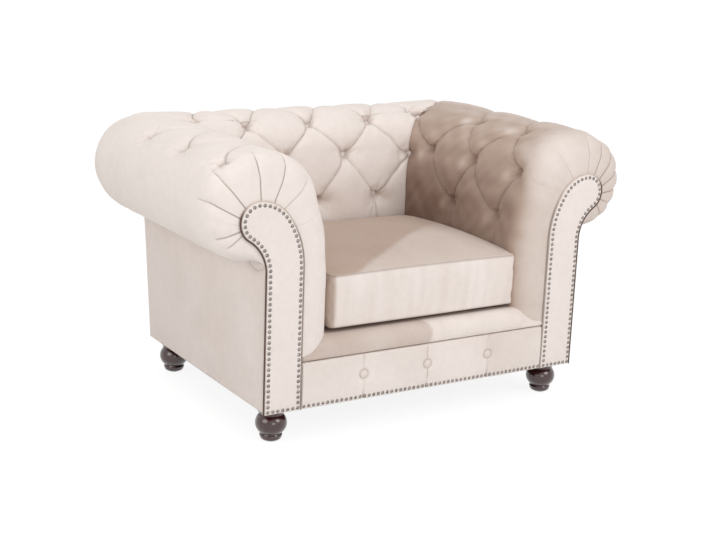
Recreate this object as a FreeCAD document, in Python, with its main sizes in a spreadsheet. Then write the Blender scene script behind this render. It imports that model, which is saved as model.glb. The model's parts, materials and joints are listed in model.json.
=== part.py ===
import FreeCAD, Part
import math
import os
import re
import types

# Chesterfield armchair with rolled, tufted arms and back, a loose seat cushion and turned feet.
# X runs across the chair, +Y to its back and +Z up; the origin is on the floor under its middle.
# The formulas measure Y from the front plane of the two scroll facings, and each piece's
# Placement then moves it forward so that the origin is under the middle of the whole chair.

DIMENSIONS = {
    # overall sizes
    "body_width": 960,  # between the outer faces of the two sides
    "body_depth": 716,  # from the front plane to the rear face at its foot
    "arm_height": 739,  # floor to the top of the arm rolls
    "back_height": 732,  # floor to the top of the back roll
    "foot_height": 89,  # floor to the underside of the body
    "back_lean": 6.9,  # degrees from upright of the rear face
    # arms and back
    "arm_thickness": 180,
    "arm_roll_radius": 134,
    "arm_roll_overhang": 29,  # centre of the roll beyond the side's outer face
    "arm_pad_thickness": 61,
    "shoulder_drop": 131,  # top of the flat inner face below the roll's centre
    "back_thickness": 120,
    "back_roll_radius": 130,
    "back_roll_overhang": 26,
    "back_pad_thickness": 76,
    "corner_radius": 70,  # centre line of the roll round the rear corners
    "nose_length": 92,  # length over which an arm pad rounds in to its facing
    "soft_gap": 0.5,  # room round anything that lies inside or beside a pad
    # scroll facings at the front of the arms
    "facing_width": 100,
    "facing_thickness": 15,
    "facing_neck_height": 449,  # floor to where the outer side starts to curve out
    "facing_inner_height": 455,  # floor to where the inner side starts to curve
    "facing_neck_radius": 100,
    "facing_neck_turn": 58,  # degrees
    "facing_scroll_radius": 50,
    "facing_crown_turn": 55,  # degrees
    "welt_radius": 2.2,
    # front border, lip, deck and cushion
    "border_top": 210,
    "border_thickness": 12.5,
    "border_setback": 2,
    "border_pleat_width": 10,
    "border_pleat_depth": 4,
    "border_dimple_radius": 22,
    "border_dimple_depth": 7,
    "lip_depth": 58,
    "deck_top": 270,
    "cushion_width": 588,
    "cushion_front": 38,
    "cushion_depth": 546,
    "cushion_edge_height": 145,
    "cushion_crown": 24,
    "cushion_corner": 34,
    "cushion_lift": 0.3,  # rest clearance over the deck
    # tufting, with each row's place measured up the pad from its lower edge
    "button_radius": 11.5,
    "button_height": 9,
    "button_inset": 9,  # how far a button's crown lies below the pad's surface
    "dimple_radius": 31,
    "groove_depth": 10,
    "arm_row_low": 264,
    "arm_row_middle": 397,
    "arm_row_high": 548,
    "arm_row_outer": 715,
    "arm_low_start": 150,
    "arm_middle_start": 95,
    "arm_high_start": 190,
    "arm_outer_start": 72,
    "arm_button_pitch": 207,
    "back_row_low": 247,
    "back_row_middle": 378,
    "back_row_high": 486,
    "back_row_outer": 668,
    "back_button_pitch": 200,
    "border_button_pitch": 195,
    "border_button_height": 156,
    # decorative nails
    "nail_radius": 4.7,
    "nail_rise": 2.6,
    "nail_pitch": 13.8,
    "nail_inset": 8.5,
    # frame timber
    "rail_base": 91,
    "rail_top": 208,
    "rail_thickness": 25,
    "side_rail_thickness": 22,
    "front_board_thickness": 20.5,
    "front_board_inset": 7,
    "post_thickness": 32,
    "post_offset": 2.8,  # inner face of a rear post beyond the arm pad's hollow
    "post_outer_room": 5,
    "post_drop": 147.3,  # top of the rear posts below the top of the arms
    "slat_height": 30,
    "slat_thickness": 20,
    "slat_drop": 269,  # top of the slats below the top of the arms
    "tack_rail_base": 222,
    "tack_rail_height": 40,
    "back_top_rail_height": 38,
    "arm_top_rail_width": 80,
    "arm_top_rail_height": 22,
    "arm_top_rail_reach": 60,  # how far its inner edge lies inside the side's outer face
    "centre_post_width": 40,
    "block_leg": 76,
    "block_height": 70,
    "block_bevel": 20,
    "block_inset": 5,
    "joint_gap": 0.3,
    # springs and cloths
    "spring_wire_radius": 1.8,
    "spring_pitch": 120,
    "spring_half_width": 25,
    "spring_step": 22,
    "spring_height": 213,
    "clip_length": 30,
    "clip_width": 16,
    "wire_clearance": 0.1,
    "insulator_rise": 2,  # above the spring wires
    "insulator_inset": 5,
    "insulator_thickness": 2.2,
    "pad_rise": 1.3,  # underside of the pads above the insulator
    "webbing_width": 60,
    "webbing_thickness": 1.8,
    "webbing_low_margin": 8,
    "webbing_high_margin": 6,
    "back_strap_pitch": 114,
    "dust_cover_thickness": 1.6,
    "panel_thickness": 10,
    # feet and their fixings
    "foot_inset_side": 50,
    "foot_inset_end": 60,
    "foot_ball_radius": 40.5,
    "foot_ring_radius": 28.5,
    "foot_sole_radius": 20,
    "foot_ring_base": 13,
    "foot_ring_top": 18,
    "foot_neck_height": 20,
    "foot_ball_height": 44,
    "foot_cove_base": 69,
    "foot_cove_top": 82,
    "foot_cove_depth": 10,
    "foot_plate_inset": 4,
    "glide_thickness": 2,
    "glide_radius": 16,
    "bolt_radius": 4,
    "bolt_clearance": 0.4,
    "bolt_depth": 38,  # down into the foot
    "bolt_rise": 9,  # up past the block
    "foot_bore_depth": 40,
    "nut_radius": 10,
    "nut_flange": 2,
    "nut_height": 6,
    "nut_wall": 2.5,
    # zip in the cushion's rear border
    "zip_length": 440,
    "zip_width": 24,
    "zip_tape_thickness": 1.5,
    "zip_slider_length": 12,
    "zip_slider_thickness": 2.5,
    "zip_slider_height": 9,
    "zip_pull_length": 24,
    "zip_pull_width": 5,
    "zip_pull_thickness": 1,
}

doc = FreeCAD.newDocument("chesterfield_armchair")
sheet = doc.addObject("Spreadsheet::Sheet", "Size")
for row, (name, number) in enumerate(DIMENSIONS.items(), start=1):
    sheet.set(f"A{row}", name)
    sheet.set(f"B{row}", str(number))
    sheet.setAlias(f"B{row}", name)
doc.recompute()

V = FreeCAD.Vector
S = types.SimpleNamespace(**{name: float(sheet.get(name)) for name in DIMENSIONS})
FRONT = "(-(body_depth + back_roll_overhang + back_roll_radius - nail_rise) / 2)"
front_y = -(S.body_depth + S.back_roll_overhang + S.back_roll_radius - S.nail_rise) / 2

# levels and faces that several pieces share
side_x = S.body_width / 2
inner_x = side_x - S.arm_thickness
facing_inner_x = side_x - S.facing_width
roll_x = side_x + S.arm_roll_overhang
arm_roll_z = S.arm_height - S.arm_roll_radius
back_face_y = S.body_depth - S.back_thickness
back_roll_y = S.body_depth + S.back_roll_overhang
back_roll_z = S.back_height - S.back_roll_radius
insulator_base = S.spring_height + S.spring_wire_radius + S.insulator_rise
pad_base = insulator_base + S.insulator_thickness + S.pad_rise
slat_top = S.arm_height - S.slat_drop
hollow_top = arm_roll_z - S.shoulder_drop
board_back_y = S.facing_thickness + S.joint_gap + S.front_board_thickness
arm_hollow_x = inner_x + S.arm_pad_thickness
back_hollow_y = back_face_y + S.back_pad_thickness
pieces = []


# Helpers that place, bind and draw pieces

def bind(piece, prop, formula):
    """Ties a property to a formula written with the sheet's names."""
    piece.setExpression(prop, re.sub(r"[a-z]+(?:_[a-z]+)+", lambda word: "Size." + word.group(), formula))


def keep(piece, label):
    piece.Label = label
    pieces.append(piece)
    return piece


def board(label, corner, extent):
    """A sawn board or cut sheet, from formulas for its lowest corner and its size."""
    piece = doc.addObject("Part::Box", label)
    bind(piece, "Placement.Base.x", corner[0])
    bind(piece, "Placement.Base.y", f"{FRONT} + {corner[1]}")
    bind(piece, "Placement.Base.z", corner[2])
    bind(piece, "Length", extent[0])
    bind(piece, "Width", extent[1])
    bind(piece, "Height", extent[2])
    return keep(piece, label)


def formed(label, shape):
    """A piece whose shape is worked out here, then moved to the chair's frame."""
    piece = doc.addObject("Part::Feature", label)
    piece.Shape = shape
    piece.Placement = FreeCAD.Placement(V(0, front_y, 0), FreeCAD.Rotation())
    return keep(piece, label)


def opposite(piece, label):
    """The same piece on the other side of the chair."""
    copy = doc.addObject("Part::Mirroring", label)
    copy.Source = piece
    copy.Base = V(0, 0, 0)
    copy.Normal = V(1, 0, 0)
    return keep(copy, label)


def both_sides(piece, name):
    """Labels a right-hand piece and adds its left-hand one."""
    piece.Label = f"{name}_right"
    opposite(piece, f"{name}_left")


def across(y):
    """Places a section of an arm, drawn in X and Z, at one depth."""
    return lambda point: V(point[0], y, point[1])


def along(x):
    """Places a section of the back, drawn in Y and Z, at one width."""
    return lambda point: V(x, point[0], point[1])


def plan(z):
    return lambda point: V(point[0], point[1], z)


def curves(segments, place):
    """Lines for segments of two points and arcs for segments of three."""
    drawn = []
    for segment in segments:
        corners = [place(point) for point in segment]
        drawn.append(Part.LineSegment(*corners) if len(corners) == 2 else Part.Arc(*corners))
    return drawn


def wire(segments, place):
    return Part.Wire([curve.toShape() for curve in curves(segments, place)])


def closed(segments):
    return segments + [(segments[-1][-1], segments[0][0])]


def polygon(points):
    return list(zip(points, points[1:] + points[:1]))


def prism(segments, place, direction):
    return Part.Face(wire(segments, place)).extrude(direction)


def backwards(segments):
    return [tuple(reversed(segment)) for segment in reversed(segments)]


def trace(start, heading, moves):
    """Segments of a line that runs straight for a length or bends by a radius and an angle."""
    place = complex(*start)
    aim = complex(math.cos(math.radians(heading)), math.sin(math.radians(heading)))
    segments = []
    for move in moves:
        if len(move) == 1:
            end = place + aim * move[0]
            segments.append(((place.real, place.imag), (end.real, end.imag)))
        else:
            radius, turn = move
            half = complex(math.cos(math.radians(turn / 2)), math.sin(math.radians(turn / 2)))
            centre = place + aim * 1j * math.copysign(radius, turn)
            middle = centre + (place - centre) * half
            end = centre + (place - centre) * half * half
            segments.append(tuple((point.real, point.imag) for point in (place, middle, end)))
            aim = aim * half * half
        place = end
    return segments


def mixed(first, second, share):
    """Segments part of the way from one outline to another with as many segments."""
    return [
        tuple(
            tuple(a + (b - a) * share for a, b in zip(start, end))
            for start, end in zip(one, other)
        )
        for one, other in zip(first, second)
    ]


def station(segments, run):
    """The point at a length along an outline and the outward direction there, to its left."""
    for curve in curves(segments, plan(0)):
        edge = curve.toShape()
        if run <= edge.Length:
            break
        run -= edge.Length
    parameter = edge.getParameterByLength(min(run, edge.Length))
    spot = edge.valueAt(parameter)
    tangent = edge.tangentAt(parameter)
    return (spot.x, spot.y), (-tangent.y, tangent.x)


def sketched(label, plane_role, outline, thickness, corner):
    """A flat piece cut to a sketched outline and as thick as its formula says."""
    body = doc.addObject("PartDesign::Body", label)
    sketch = body.newObject("Sketcher::SketchObject", label + "_outline")
    plane = [feature for feature in body.Origin.OriginFeatures if feature.Role == plane_role][0]
    sketch.AttachmentSupport = [(plane, "")]
    sketch.MapMode = "FlatFace"
    sketch.addGeometry(curves(outline, plan(0)), False)
    pad = body.newObject("PartDesign::Pad", label + "_pad")
    pad.Profile = sketch
    pad.Reversed = plane_role == "XZ_Plane"
    bind(pad, "Length", thickness)
    bind(body, "Placement.Base.x", corner[0])
    bind(body, "Placement.Base.y", f"{FRONT} + {corner[1]}")
    bind(body, "Placement.Base.z", corner[2])
    return keep(body, label)


# Outlines of the scroll facing, the arm and the back

def facing_outline(inset):
    """The scroll from its outer foot up, over and down its inner side; an inset draws it in."""
    neck = math.radians(S.facing_neck_turn)
    crown = math.radians(S.facing_crown_turn)
    centre_x = side_x + S.facing_neck_radius * (1 - math.cos(neck)) - S.facing_scroll_radius * math.cos(neck)
    centre_z = S.facing_neck_height + (S.facing_neck_radius + S.facing_scroll_radius) * math.sin(neck)
    reach = centre_x - facing_inner_x
    drop = centre_z + S.facing_scroll_radius - S.facing_inner_height
    # two arcs, tangent to each other, close the crown onto the straight inner side
    lower = (drop * math.sin(crown) - reach * (1 - math.cos(crown))) / (
        math.cos(crown) * math.sin(crown) - (1 - math.sin(crown)) * (1 - math.cos(crown))
    )
    upper = (reach - lower * (1 - math.sin(crown))) / math.sin(crown)
    return trace(
        (side_x - inset, S.foot_height),
        90,
        [
            (S.facing_neck_height - S.foot_height,),
            (S.facing_neck_radius + inset, -S.facing_neck_turn),
            (S.facing_scroll_radius - inset, S.facing_neck_turn),
            (S.facing_scroll_radius - inset, 90),
            (upper - inset, S.facing_crown_turn / 2),
            (upper - inset, S.facing_crown_turn / 2),
            (lower - inset, 90 - S.facing_crown_turn),
            (S.facing_inner_height - S.foot_height,),
        ],
    )


def arc_point(centre, radius, degrees):
    angle = math.radians(degrees)
    return (centre[0] + radius * math.cos(angle), centre[1] + radius * math.sin(angle))


def arm_outline(foot):
    """The arm's section, in as many segments as the facing, from a level up."""
    centre = (roll_x, arm_roll_z)
    radius = S.arm_roll_radius
    join = -math.degrees(math.acos(-S.arm_roll_overhang / radius))
    shoulder = (inner_x + 19, arm_roll_z + 14)
    ridge = (inner_x + 95, S.arm_height - 19)
    flat_top = (inner_x, arm_roll_z - S.shoulder_drop)


    def roll(*angles):
        return tuple(arc_point(centre, radius, degrees) for degrees in angles)

    return [
        ((side_x, foot), *roll(join)),
        roll(join, (join - 90) / 2, -90),
        roll(-90, -45, 0),
        roll(0, 45, 90),
        (*roll(90), (inner_x + 150, S.arm_height - 2), ridge),
        (ridge, (inner_x + 45, arm_roll_z + 76), shoulder),
        (shoulder, (inner_x + 2, arm_roll_z - 56), flat_top),
        (flat_top, (inner_x, foot)),
    ]


def back_outline():
    """The back pad's section in Y and Z, from its inner foot up and over the roll."""
    centre = (back_roll_y, back_roll_z)
    radius = S.back_roll_radius
    flat_top = (back_face_y - 4, back_roll_z - 138)
    shoulder = (back_face_y + 17, back_roll_z + 12)
    ridge = (back_face_y + 80, S.back_height - 16)
    return [
        ((back_face_y, pad_base), flat_top),
        (flat_top, (back_face_y + 1, back_roll_z - 58), shoulder),
        (shoulder, (back_face_y + 40, back_roll_z + 75), ridge),
        (ridge, (back_face_y + 112, S.back_height - 3), arc_point(centre, radius, 90)),
        (arc_point(centre, radius, 90), arc_point(centre, radius, 45), arc_point(centre, radius, 0)),
        (arc_point(centre, radius, 0), arc_point(centre, radius, -45), arc_point(centre, radius, -90)),
        (arc_point(centre, radius, -90), (back_hollow_y, back_roll_z - radius)),
        ((back_hollow_y, back_roll_z - radius), (back_hollow_y, pad_base)),
    ]


# Hardwood frame: four seat rails, glued corner blocks, scroll boards, posts, rails and slats

frame_start = "facing_thickness + joint_gap"
board_end = "(facing_thickness + joint_gap + front_board_thickness + joint_gap)"
hollow_y = "(body_depth - back_thickness + back_pad_thickness)"
hollow_x = "(body_width / 2 - arm_thickness + arm_pad_thickness)"
side_x_formula = "body_width / 2"
post_inner = f"({hollow_x} + post_offset)"
between_posts = f"2 * ({post_inner} - joint_gap)"
back_rail_y = f"{hollow_y} + webbing_thickness + 2 * joint_gap"
side_run = f"{hollow_y} - joint_gap - {board_end}"
rail_height = "rail_top - rail_base"
post_top = "(arm_height - post_drop)"
slat_base = "(arm_height - slat_drop - slat_height)"
board_inner = "(body_width / 2 - facing_width + front_board_inset)"

board(
    "seat_rail_front",
    (f"joint_gap - {board_inner}", frame_start, "rail_base"),
    (f"2 * {board_inner} - 2 * joint_gap", "rail_thickness", rail_height),
)
board(
    "seat_rail_rear",
    (f"-{between_posts} / 2", back_rail_y, "rail_base"),
    (between_posts, "rail_thickness", rail_height),
)
side_rail = board(
    "seat_rail_right",
    (f"{side_x_formula} - panel_thickness - joint_gap - side_rail_thickness", board_end, "rail_base"),
    ("side_rail_thickness", side_run, rail_height),
)
both_sides(side_rail, "seat_rail")

post = board(
    "rear_post_right",
    (post_inner, hollow_y, "rail_base"),
    (
        f"{side_x_formula} - panel_thickness - post_outer_room - {post_inner}",
        "post_thickness",
        f"{post_top} - rail_base",
    ),
)
both_sides(post, "rear_post")

arm_tack_rail = board(
    "arm_tack_rail_right",
    (f"{hollow_x} + webbing_thickness + 2 * joint_gap", board_end, "tack_rail_base"),
    ("slat_thickness", side_run, "tack_rail_height"),
)
both_sides(arm_tack_rail, "arm_tack_rail")

arm_slat = board(
    "arm_slat_right",
    (f"{hollow_x} + webbing_thickness + 2 * joint_gap", board_end, slat_base),
    ("slat_thickness", side_run, "slat_height"),
)
both_sides(arm_slat, "arm_slat")

arm_top_rail = board(
    "arm_top_rail_right",
    (f"{side_x_formula} - arm_top_rail_reach", board_end, f"{post_top} + joint_gap"),
    ("arm_top_rail_width", f"{hollow_y} + post_thickness - {board_end}", "arm_top_rail_height"),
)
both_sides(arm_top_rail, "arm_top_rail")

board(
    "back_tack_rail",
    (f"-{between_posts} / 2", back_rail_y, "tack_rail_base"),
    (between_posts, "rail_thickness", "tack_rail_height"),
)
board(
    "back_slat",
    (f"-{between_posts} / 2", back_rail_y, slat_base),
    (between_posts, "rail_thickness", "slat_height"),
)
board(
    "back_top_rail",
    (f"-{between_posts} / 2", back_rail_y, f"{post_top} - back_top_rail_height"),
    (between_posts, "rail_thickness", "back_top_rail_height"),
)
board(
    "back_centre_post",
    ("-centre_post_width / 2", back_rail_y, "tack_rail_base + tack_rail_height + joint_gap"),
    (
        "centre_post_width",
        "rail_thickness",
        f"{slat_base} - tack_rail_base - tack_rail_height - 2 * joint_gap",
    ),
)

# The scroll board carries the facing, and the arm's rails butt against its back
front_board = sketched(
    "arm_front_board_right",
    "XZ_Plane",
    closed(facing_outline(S.front_board_inset)),
    "front_board_thickness",
    ("0", frame_start, "front_board_inset / 2"),
)
both_sides(front_board, "arm_front_board")

foot_x = side_x - S.foot_inset_side
foot_places = {
    "front_left": (-foot_x, S.foot_inset_end),
    "front_right": (foot_x, S.foot_inset_end),
    "rear_left": (-foot_x, S.body_depth - S.foot_inset_end),
    "rear_right": (foot_x, S.body_depth - S.foot_inset_end),
}


def bolt_bores():
    """A clearance hole up through the chair at each foot."""
    radius = S.bolt_radius + S.bolt_clearance
    return [Part.makeCylinder(radius, S.rail_top, V(x, y, 0)) for x, y in foot_places.values()]


def corner_blocks():
    """Blocks glued into the corners of the seat rails, bored for the foot bolts."""
    inner = facing_inner_x + S.block_inset
    outer = side_x - S.panel_thickness - 2 * S.joint_gap - S.side_rail_thickness
    front = S.facing_thickness + S.rail_thickness + 2 * S.joint_gap
    rear = back_hollow_y - S.joint_gap
    blocks = []
    for near, far in ((front, front + S.block_leg), (rear, rear - S.block_leg)):
        slope = math.copysign(S.block_bevel, far - near)
        bevel = [(inner + S.block_bevel, far), (inner, far - slope)]
        corners = [(inner, near), (outer, near), (outer, far)] + bevel
        blocks.append(prism(polygon(corners), plan(S.rail_base), V(0, 0, S.block_height)))
    blocks += [block.mirror(V(0, 0, 0), V(1, 0, 0)) for block in blocks]
    return Part.makeCompound([block.cut(bolt_bores()) for block in blocks])


formed("corner_blocks", corner_blocks())


# Seat suspension: sinuous springs between the front and rear rails, held by clips

spring_front = S.facing_thickness + S.joint_gap + S.rail_thickness / 2
spring_rear = back_hollow_y + S.webbing_thickness + 2 * S.joint_gap + S.rail_thickness / 2
spring_places = [S.spring_pitch * index for index in range(-2, 3)]


def seat_spring(x):
    """One wire bent into flat zigzag loops along the seat."""
    span = spring_rear - spring_front
    bars = round(span / S.spring_step) + 1
    step = span / (bars - 1)
    edges = []
    for bar in range(bars):
        side = 1 if bar % 2 == 0 else -1
        y = spring_front + bar * step
        start = V(x - side * S.spring_half_width, y, S.spring_height)
        end = V(x + side * S.spring_half_width, y, S.spring_height)
        edges.append(Part.LineSegment(start, end).toShape())
        if bar < bars - 1:
            crest = end + V(side * step / 2, step / 2, 0)
            edges.append(Part.Arc(end, crest, end + V(0, step, 0)).toShape())
    section = Part.makeCircle(S.spring_wire_radius, edges[0].valueAt(0), V(1, 0, 0))
    return Part.Wire(edges).makePipeShell([Part.Wire(section)], True, False)


formed("seat_springs", Part.makeCompound([seat_spring(x) for x in spring_places]))


def spring_clips():
    """A plate over each spring end, nailed to the rail and bored for the wire."""
    clips = []
    top = insulator_base - S.joint_gap
    for x in spring_places:
        for y in (spring_front, spring_rear):
            corner = V(x - S.clip_length / 2, y - S.clip_width / 2, S.rail_top)
            plate = Part.makeBox(S.clip_length, S.clip_width, top - S.rail_top, corner)
            start = V(x - S.clip_length, y, S.spring_height)
            radius = S.spring_wire_radius + S.wire_clearance
            bore = Part.makeCylinder(radius, 2 * S.clip_length, start, V(1, 0, 0))
            clips.append(plate.cut(bore))
    return Part.makeCompound(clips)


formed("spring_clips", spring_clips())
board(
    "spring_insulator",
    (
        f"-{hollow_x}",
        "facing_thickness + insulator_inset",
        "spring_height + spring_wire_radius + insulator_rise",
    ),
    (
        f"2 * {hollow_x}",
        f"{back_rail_y} + rail_thickness - facing_thickness - 2 * insulator_inset",
        "insulator_thickness",
    ),
)


# Upright straps behind the pads, stapled to the tack rails and the slats
webbing_base = S.tack_rail_base + S.webbing_low_margin
webbing_length = slat_top - S.webbing_high_margin - webbing_base


def back_strap(x):
    corner = V(x - S.webbing_width / 2, back_hollow_y + S.joint_gap, webbing_base)
    return Part.makeBox(S.webbing_width, S.webbing_thickness, webbing_length, corner)


def arm_strap(y):
    corner = V(arm_hollow_x + S.joint_gap, y - S.webbing_width / 2, webbing_base)
    return Part.makeBox(S.webbing_thickness, S.webbing_width, webbing_length, corner)


back_straps = [back_strap(S.back_strap_pitch * index) for index in range(-2, 3)]
arm_reach = back_hollow_y - board_back_y
arm_straps = [arm_strap(board_back_y + arm_reach * (index + 0.5) / 4) for index in range(4)]
formed("back_webbing", Part.makeCompound(back_straps))
both_sides(formed("arm_webbing_right", Part.makeCompound(arm_straps)), "arm_webbing")


# Tufting: a sunk dimple at each covered button and a fold between neighbouring buttons

def seat_of(section, place_section, run, reach):
    """A button's place on the pad's surface and the outward direction there."""
    spot, outward = station(section, run)
    point = place_section(reach)(spot)
    direction = place_section(0)(outward)
    return point, direction


def dimple(point, outward):
    depth = S.button_inset + S.button_height
    slope = (S.dimple_radius - S.button_radius - 1) / depth
    mouth = S.dimple_radius + slope * 6
    return Part.makeCone(S.button_radius + 1, mouth, depth + 6, point - outward * depth, outward)


def button(point, outward):
    """A covered button: a flat back and a domed face."""
    disc = Part.makeCylinder(S.button_radius, S.button_height)
    rim = [edge for edge in disc.Edges if edge.BoundBox.ZMin > S.button_height / 2]
    domed = disc.makeFillet(S.button_height * 0.7, rim)
    base = point - outward * (S.button_inset + S.button_height - S.joint_gap)
    domed.Placement = FreeCAD.Placement(base, FreeCAD.Rotation(V(0, 0, 1), outward))
    return domed


def fold(section, place_section, start, end):
    """The V-shaped fold between two places, each given as a run and a reach."""
    steps = 5
    spots = []
    for step in range(steps + 1):
        share = 0.04 + 0.92 * step / steps
        run = start[0] + (end[0] - start[0]) * share
        reach = start[1] + (end[1] - start[1]) * share
        spots.append(seat_of(section, place_section, run, reach))
    wires = []
    for index, (point, outward) in enumerate(spots):
        ahead = spots[min(index + 1, steps)][0] - spots[max(index - 1, 0)][0]
        side = outward.cross(ahead).normalize()
        lift = point + outward * S.groove_depth * 0.4
        half = S.groove_depth * 1.3
        apex = point - outward * S.groove_depth
        wires.append(Part.makePolygon([lift + side * half, apex, lift - side * half, lift + side * half]))
    return Part.makeLoft(wires, True, True)


def row_of_tufts(run, start, pitch, count):
    return [(run, start + pitch * index) for index in range(count)]


def folds_between(rows, section, place_section, pitch):
    """Folds from each button to those it neighbours in the next row."""
    cutters = []
    for row, following in zip(rows, rows[1:]):
        for start in row:
            for end in following:
                if abs(start[1] - end[1]) < 0.75 * pitch:
                    cutters.append(fold(section, place_section, start, end))
    return cutters


def room_for(piece):
    """The space that a frame piece takes inside a pad, with the soft gap round it."""
    box = piece.Shape.BoundBox
    gap = S.soft_gap
    corner = V(box.XMin - gap, box.YMin - front_y - gap, box.ZMin - gap)
    return Part.makeBox(box.XLength + 2 * gap, box.YLength + 2 * gap, box.ZLength + 2 * gap, corner)


# Arm pads: webbing, foam and fabric rolled over the arm rail and drawn in to the facing

doc.recompute()
corner_x = roll_x - S.corner_radius
corner_y = back_roll_y - S.corner_radius
mitre_slope = (corner_y - back_face_y) / (corner_x - inner_x)


def mitre_y(x):
    """Where the seam between an arm and the back lies, at a distance from the middle."""
    return back_face_y + (x - inner_x) * mitre_slope


def roll_corner(profile, axis_direction, turn):
    """An eighth turn of a roll round the rear corner."""
    return profile.revolve(V(corner_x, corner_y, 0), axis_direction, turn)


def arm_section_runs():
    return backwards(arm_outline(pad_base))


def arm_tufts():
    """Button places on an arm, in four rows from the seat up and over, clear of the seam."""
    rows = []
    for run, start in (
        (S.arm_row_low, S.arm_low_start),
        (S.arm_row_middle, S.arm_middle_start),
        (S.arm_row_high, S.arm_high_start),
        (S.arm_row_outer, S.arm_outer_start),
    ):
        (x, _), _ = station(arm_section_runs(), run)
        limit = min(mitre_y(x), corner_y) - S.dimple_radius
        count = max(1, int((limit - start) // S.arm_button_pitch) + 1)
        rows.append(row_of_tufts(run, start, S.arm_button_pitch, count))
    return rows


def arm_pad():
    full = arm_outline(pad_base)
    scroll = facing_outline(-S.soft_gap)
    scroll[0] = ((scroll[0][0][0], pad_base), scroll[0][1])
    scroll[-1] = (scroll[-1][0], (scroll[-1][1][0], pad_base))
    nose_start = 2
    sections = []
    for depth in (0, 0.04, 0.14, 0.32, 0.6, 1):
        share = 0.04 + 0.96 * math.sqrt(1 - (1 - depth) ** 2)
        y = nose_start + (S.nose_length - nose_start) * depth
        sections.append(wire(closed(mixed(scroll, full, share)), across(y)))
    sections.append(wire(closed(full), across(corner_y)))
    pad = Part.makeLoft(sections, True, True)
    # the roll's outer part carries on round the rear corner, to meet the back
    top = S.arm_height + 50
    bottom = arm_roll_z - S.arm_roll_radius + 4
    outer = Part.Face(wire(closed(full), across(corner_y)))
    window = [(corner_x, bottom), (corner_x + 400, bottom), (corner_x + 400, top), (corner_x, top)]
    outer = outer.common(Part.Face(wire(polygon(window), across(corner_y))))
    pad = pad.fuse(roll_corner(outer, V(0, 0, 1), 45))
    seam = [
        (0, mitre_y(0) - S.soft_gap / 2),
        (corner_x, corner_y - S.soft_gap / 2),
        (corner_x, corner_y + 500),
        (0, corner_y + 500),
    ]
    hollow = Part.makeBox(side_x - arm_hollow_x + 1, corner_y, hollow_top, V(arm_hollow_x, board_back_y, 0))
    cutters = [
        prism(polygon(seam), plan(-1), V(0, 0, 2 * S.arm_height)),
        hollow,
        prism(closed(facing_outline(-1)), across(-1), V(0, board_back_y + S.soft_gap + 1, 0)),
        prism(closed(facing_outline(-3 * S.welt_radius)), across(-1), V(0, 9, 0)),
        room_for(post),
        room_for(arm_top_rail),
    ]
    pad = pad.cut(cutters)
    rows = arm_tufts()
    runs = arm_section_runs()
    pleats = [(60, reach) for run, reach in rows[0]]
    tools = [fold(runs, across, pleat, tuft) for pleat, tuft in zip(pleats, rows[0])]
    tools += folds_between(rows, runs, across, S.arm_button_pitch)
    tools += [dimple(*seat_of(runs, across, *tuft)) for row in rows for tuft in row]
    tools += [dimple(*place) for place in corner_buttons() if place[0].x > 0]
    return pad.cut(tools)


def corner_buttons():
    """Two buttons on the seam in each inner rear corner."""
    places = []
    for rise, reach, lean in ((back_roll_z - 18, 30, 0.15), (S.back_height - 36, 100, 1.0)):
        for side in (-1, 1):
            x = inner_x + reach
            outward = V(-side, -1, lean).normalize()
            places.append((V(side * x, mitre_y(x), rise), outward))
    return places


arm_pad_right = formed("arm_pad_right", arm_pad())
both_sides(arm_pad_right, "arm_pad")
arm_buttons = [
    button(*seat_of(arm_section_runs(), across, *tuft)) for row in arm_tufts() for tuft in row
]
both_sides(formed("arm_buttons_right", Part.makeCompound(arm_buttons)), "arm_buttons")


# Back pad: the same make as the arms, mitred to them in the corners

def back_tufts():
    pitch = S.back_button_pitch
    return [
        [(S.back_row_low, -pitch), (S.back_row_low, 0), (S.back_row_low, pitch)],
        [(S.back_row_middle, -pitch / 2), (S.back_row_middle, pitch / 2)],
        [(S.back_row_high, -pitch), (S.back_row_high, 0), (S.back_row_high, pitch)],
        [(S.back_row_outer, pitch * (index - 1.5)) for index in range(4)],
    ]


def back_pad():
    section = closed(back_outline())
    pad = prism(section, along(-corner_x), V(2 * corner_x, 0, 0))
    top = S.back_height + 50
    bottom = back_roll_z - S.back_roll_radius
    window = [(corner_y, bottom), (corner_y + 400, bottom), (corner_y + 400, top), (corner_y, top)]
    face = Part.Face(wire(section, along(corner_x)))
    outer = face.common(Part.Face(wire(polygon(window), along(corner_x))))
    right = roll_corner(outer, V(0, 0, 1), -45)
    pad = pad.fuse([right, right.mirror(V(0, 0, 0), V(1, 0, 0))])
    seam = [
        (0, mitre_y(0) + S.soft_gap / 2),
        (corner_x, corner_y + S.soft_gap / 2),
        (corner_x + 1, corner_y),
        (corner_x + 1, -1),
        (0, -1),
    ]
    near_arm = prism(polygon(seam), plan(-1), V(0, 0, 2 * S.arm_height))
    middle = Part.makeBox(2 * inner_x - 60, S.body_depth, 2 * S.arm_height, V(30 - inner_x, 0, -1))
    near_arm = near_arm.cut(middle)
    # below the shoulder the pad stops where the arm's frame begins
    frame_side = V(arm_hollow_x - S.soft_gap, 0, -1)
    near_arm = near_arm.fuse(Part.makeBox(S.arm_thickness, back_roll_y, hollow_top + 1, frame_side))
    cutters = [near_arm, near_arm.mirror(V(0, 0, 0), V(1, 0, 0)), room_for(doc.getObject("back_top_rail"))]
    for piece in (post, arm_top_rail):
        space = room_for(piece)
        cutters += [space, space.mirror(V(0, 0, 0), V(1, 0, 0))]
    pad = pad.cut(cutters)
    rows = back_tufts()
    runs = back_outline()
    tools = [fold(runs, along, (60, reach), (run, reach)) for run, reach in rows[0]]
    tools += folds_between(rows, runs, along, S.back_button_pitch)
    tools += [dimple(*seat_of(runs, along, *tuft)) for row in rows for tuft in row]
    tools += [dimple(*place) for place in corner_buttons()]
    return pad.cut(tools)


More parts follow.
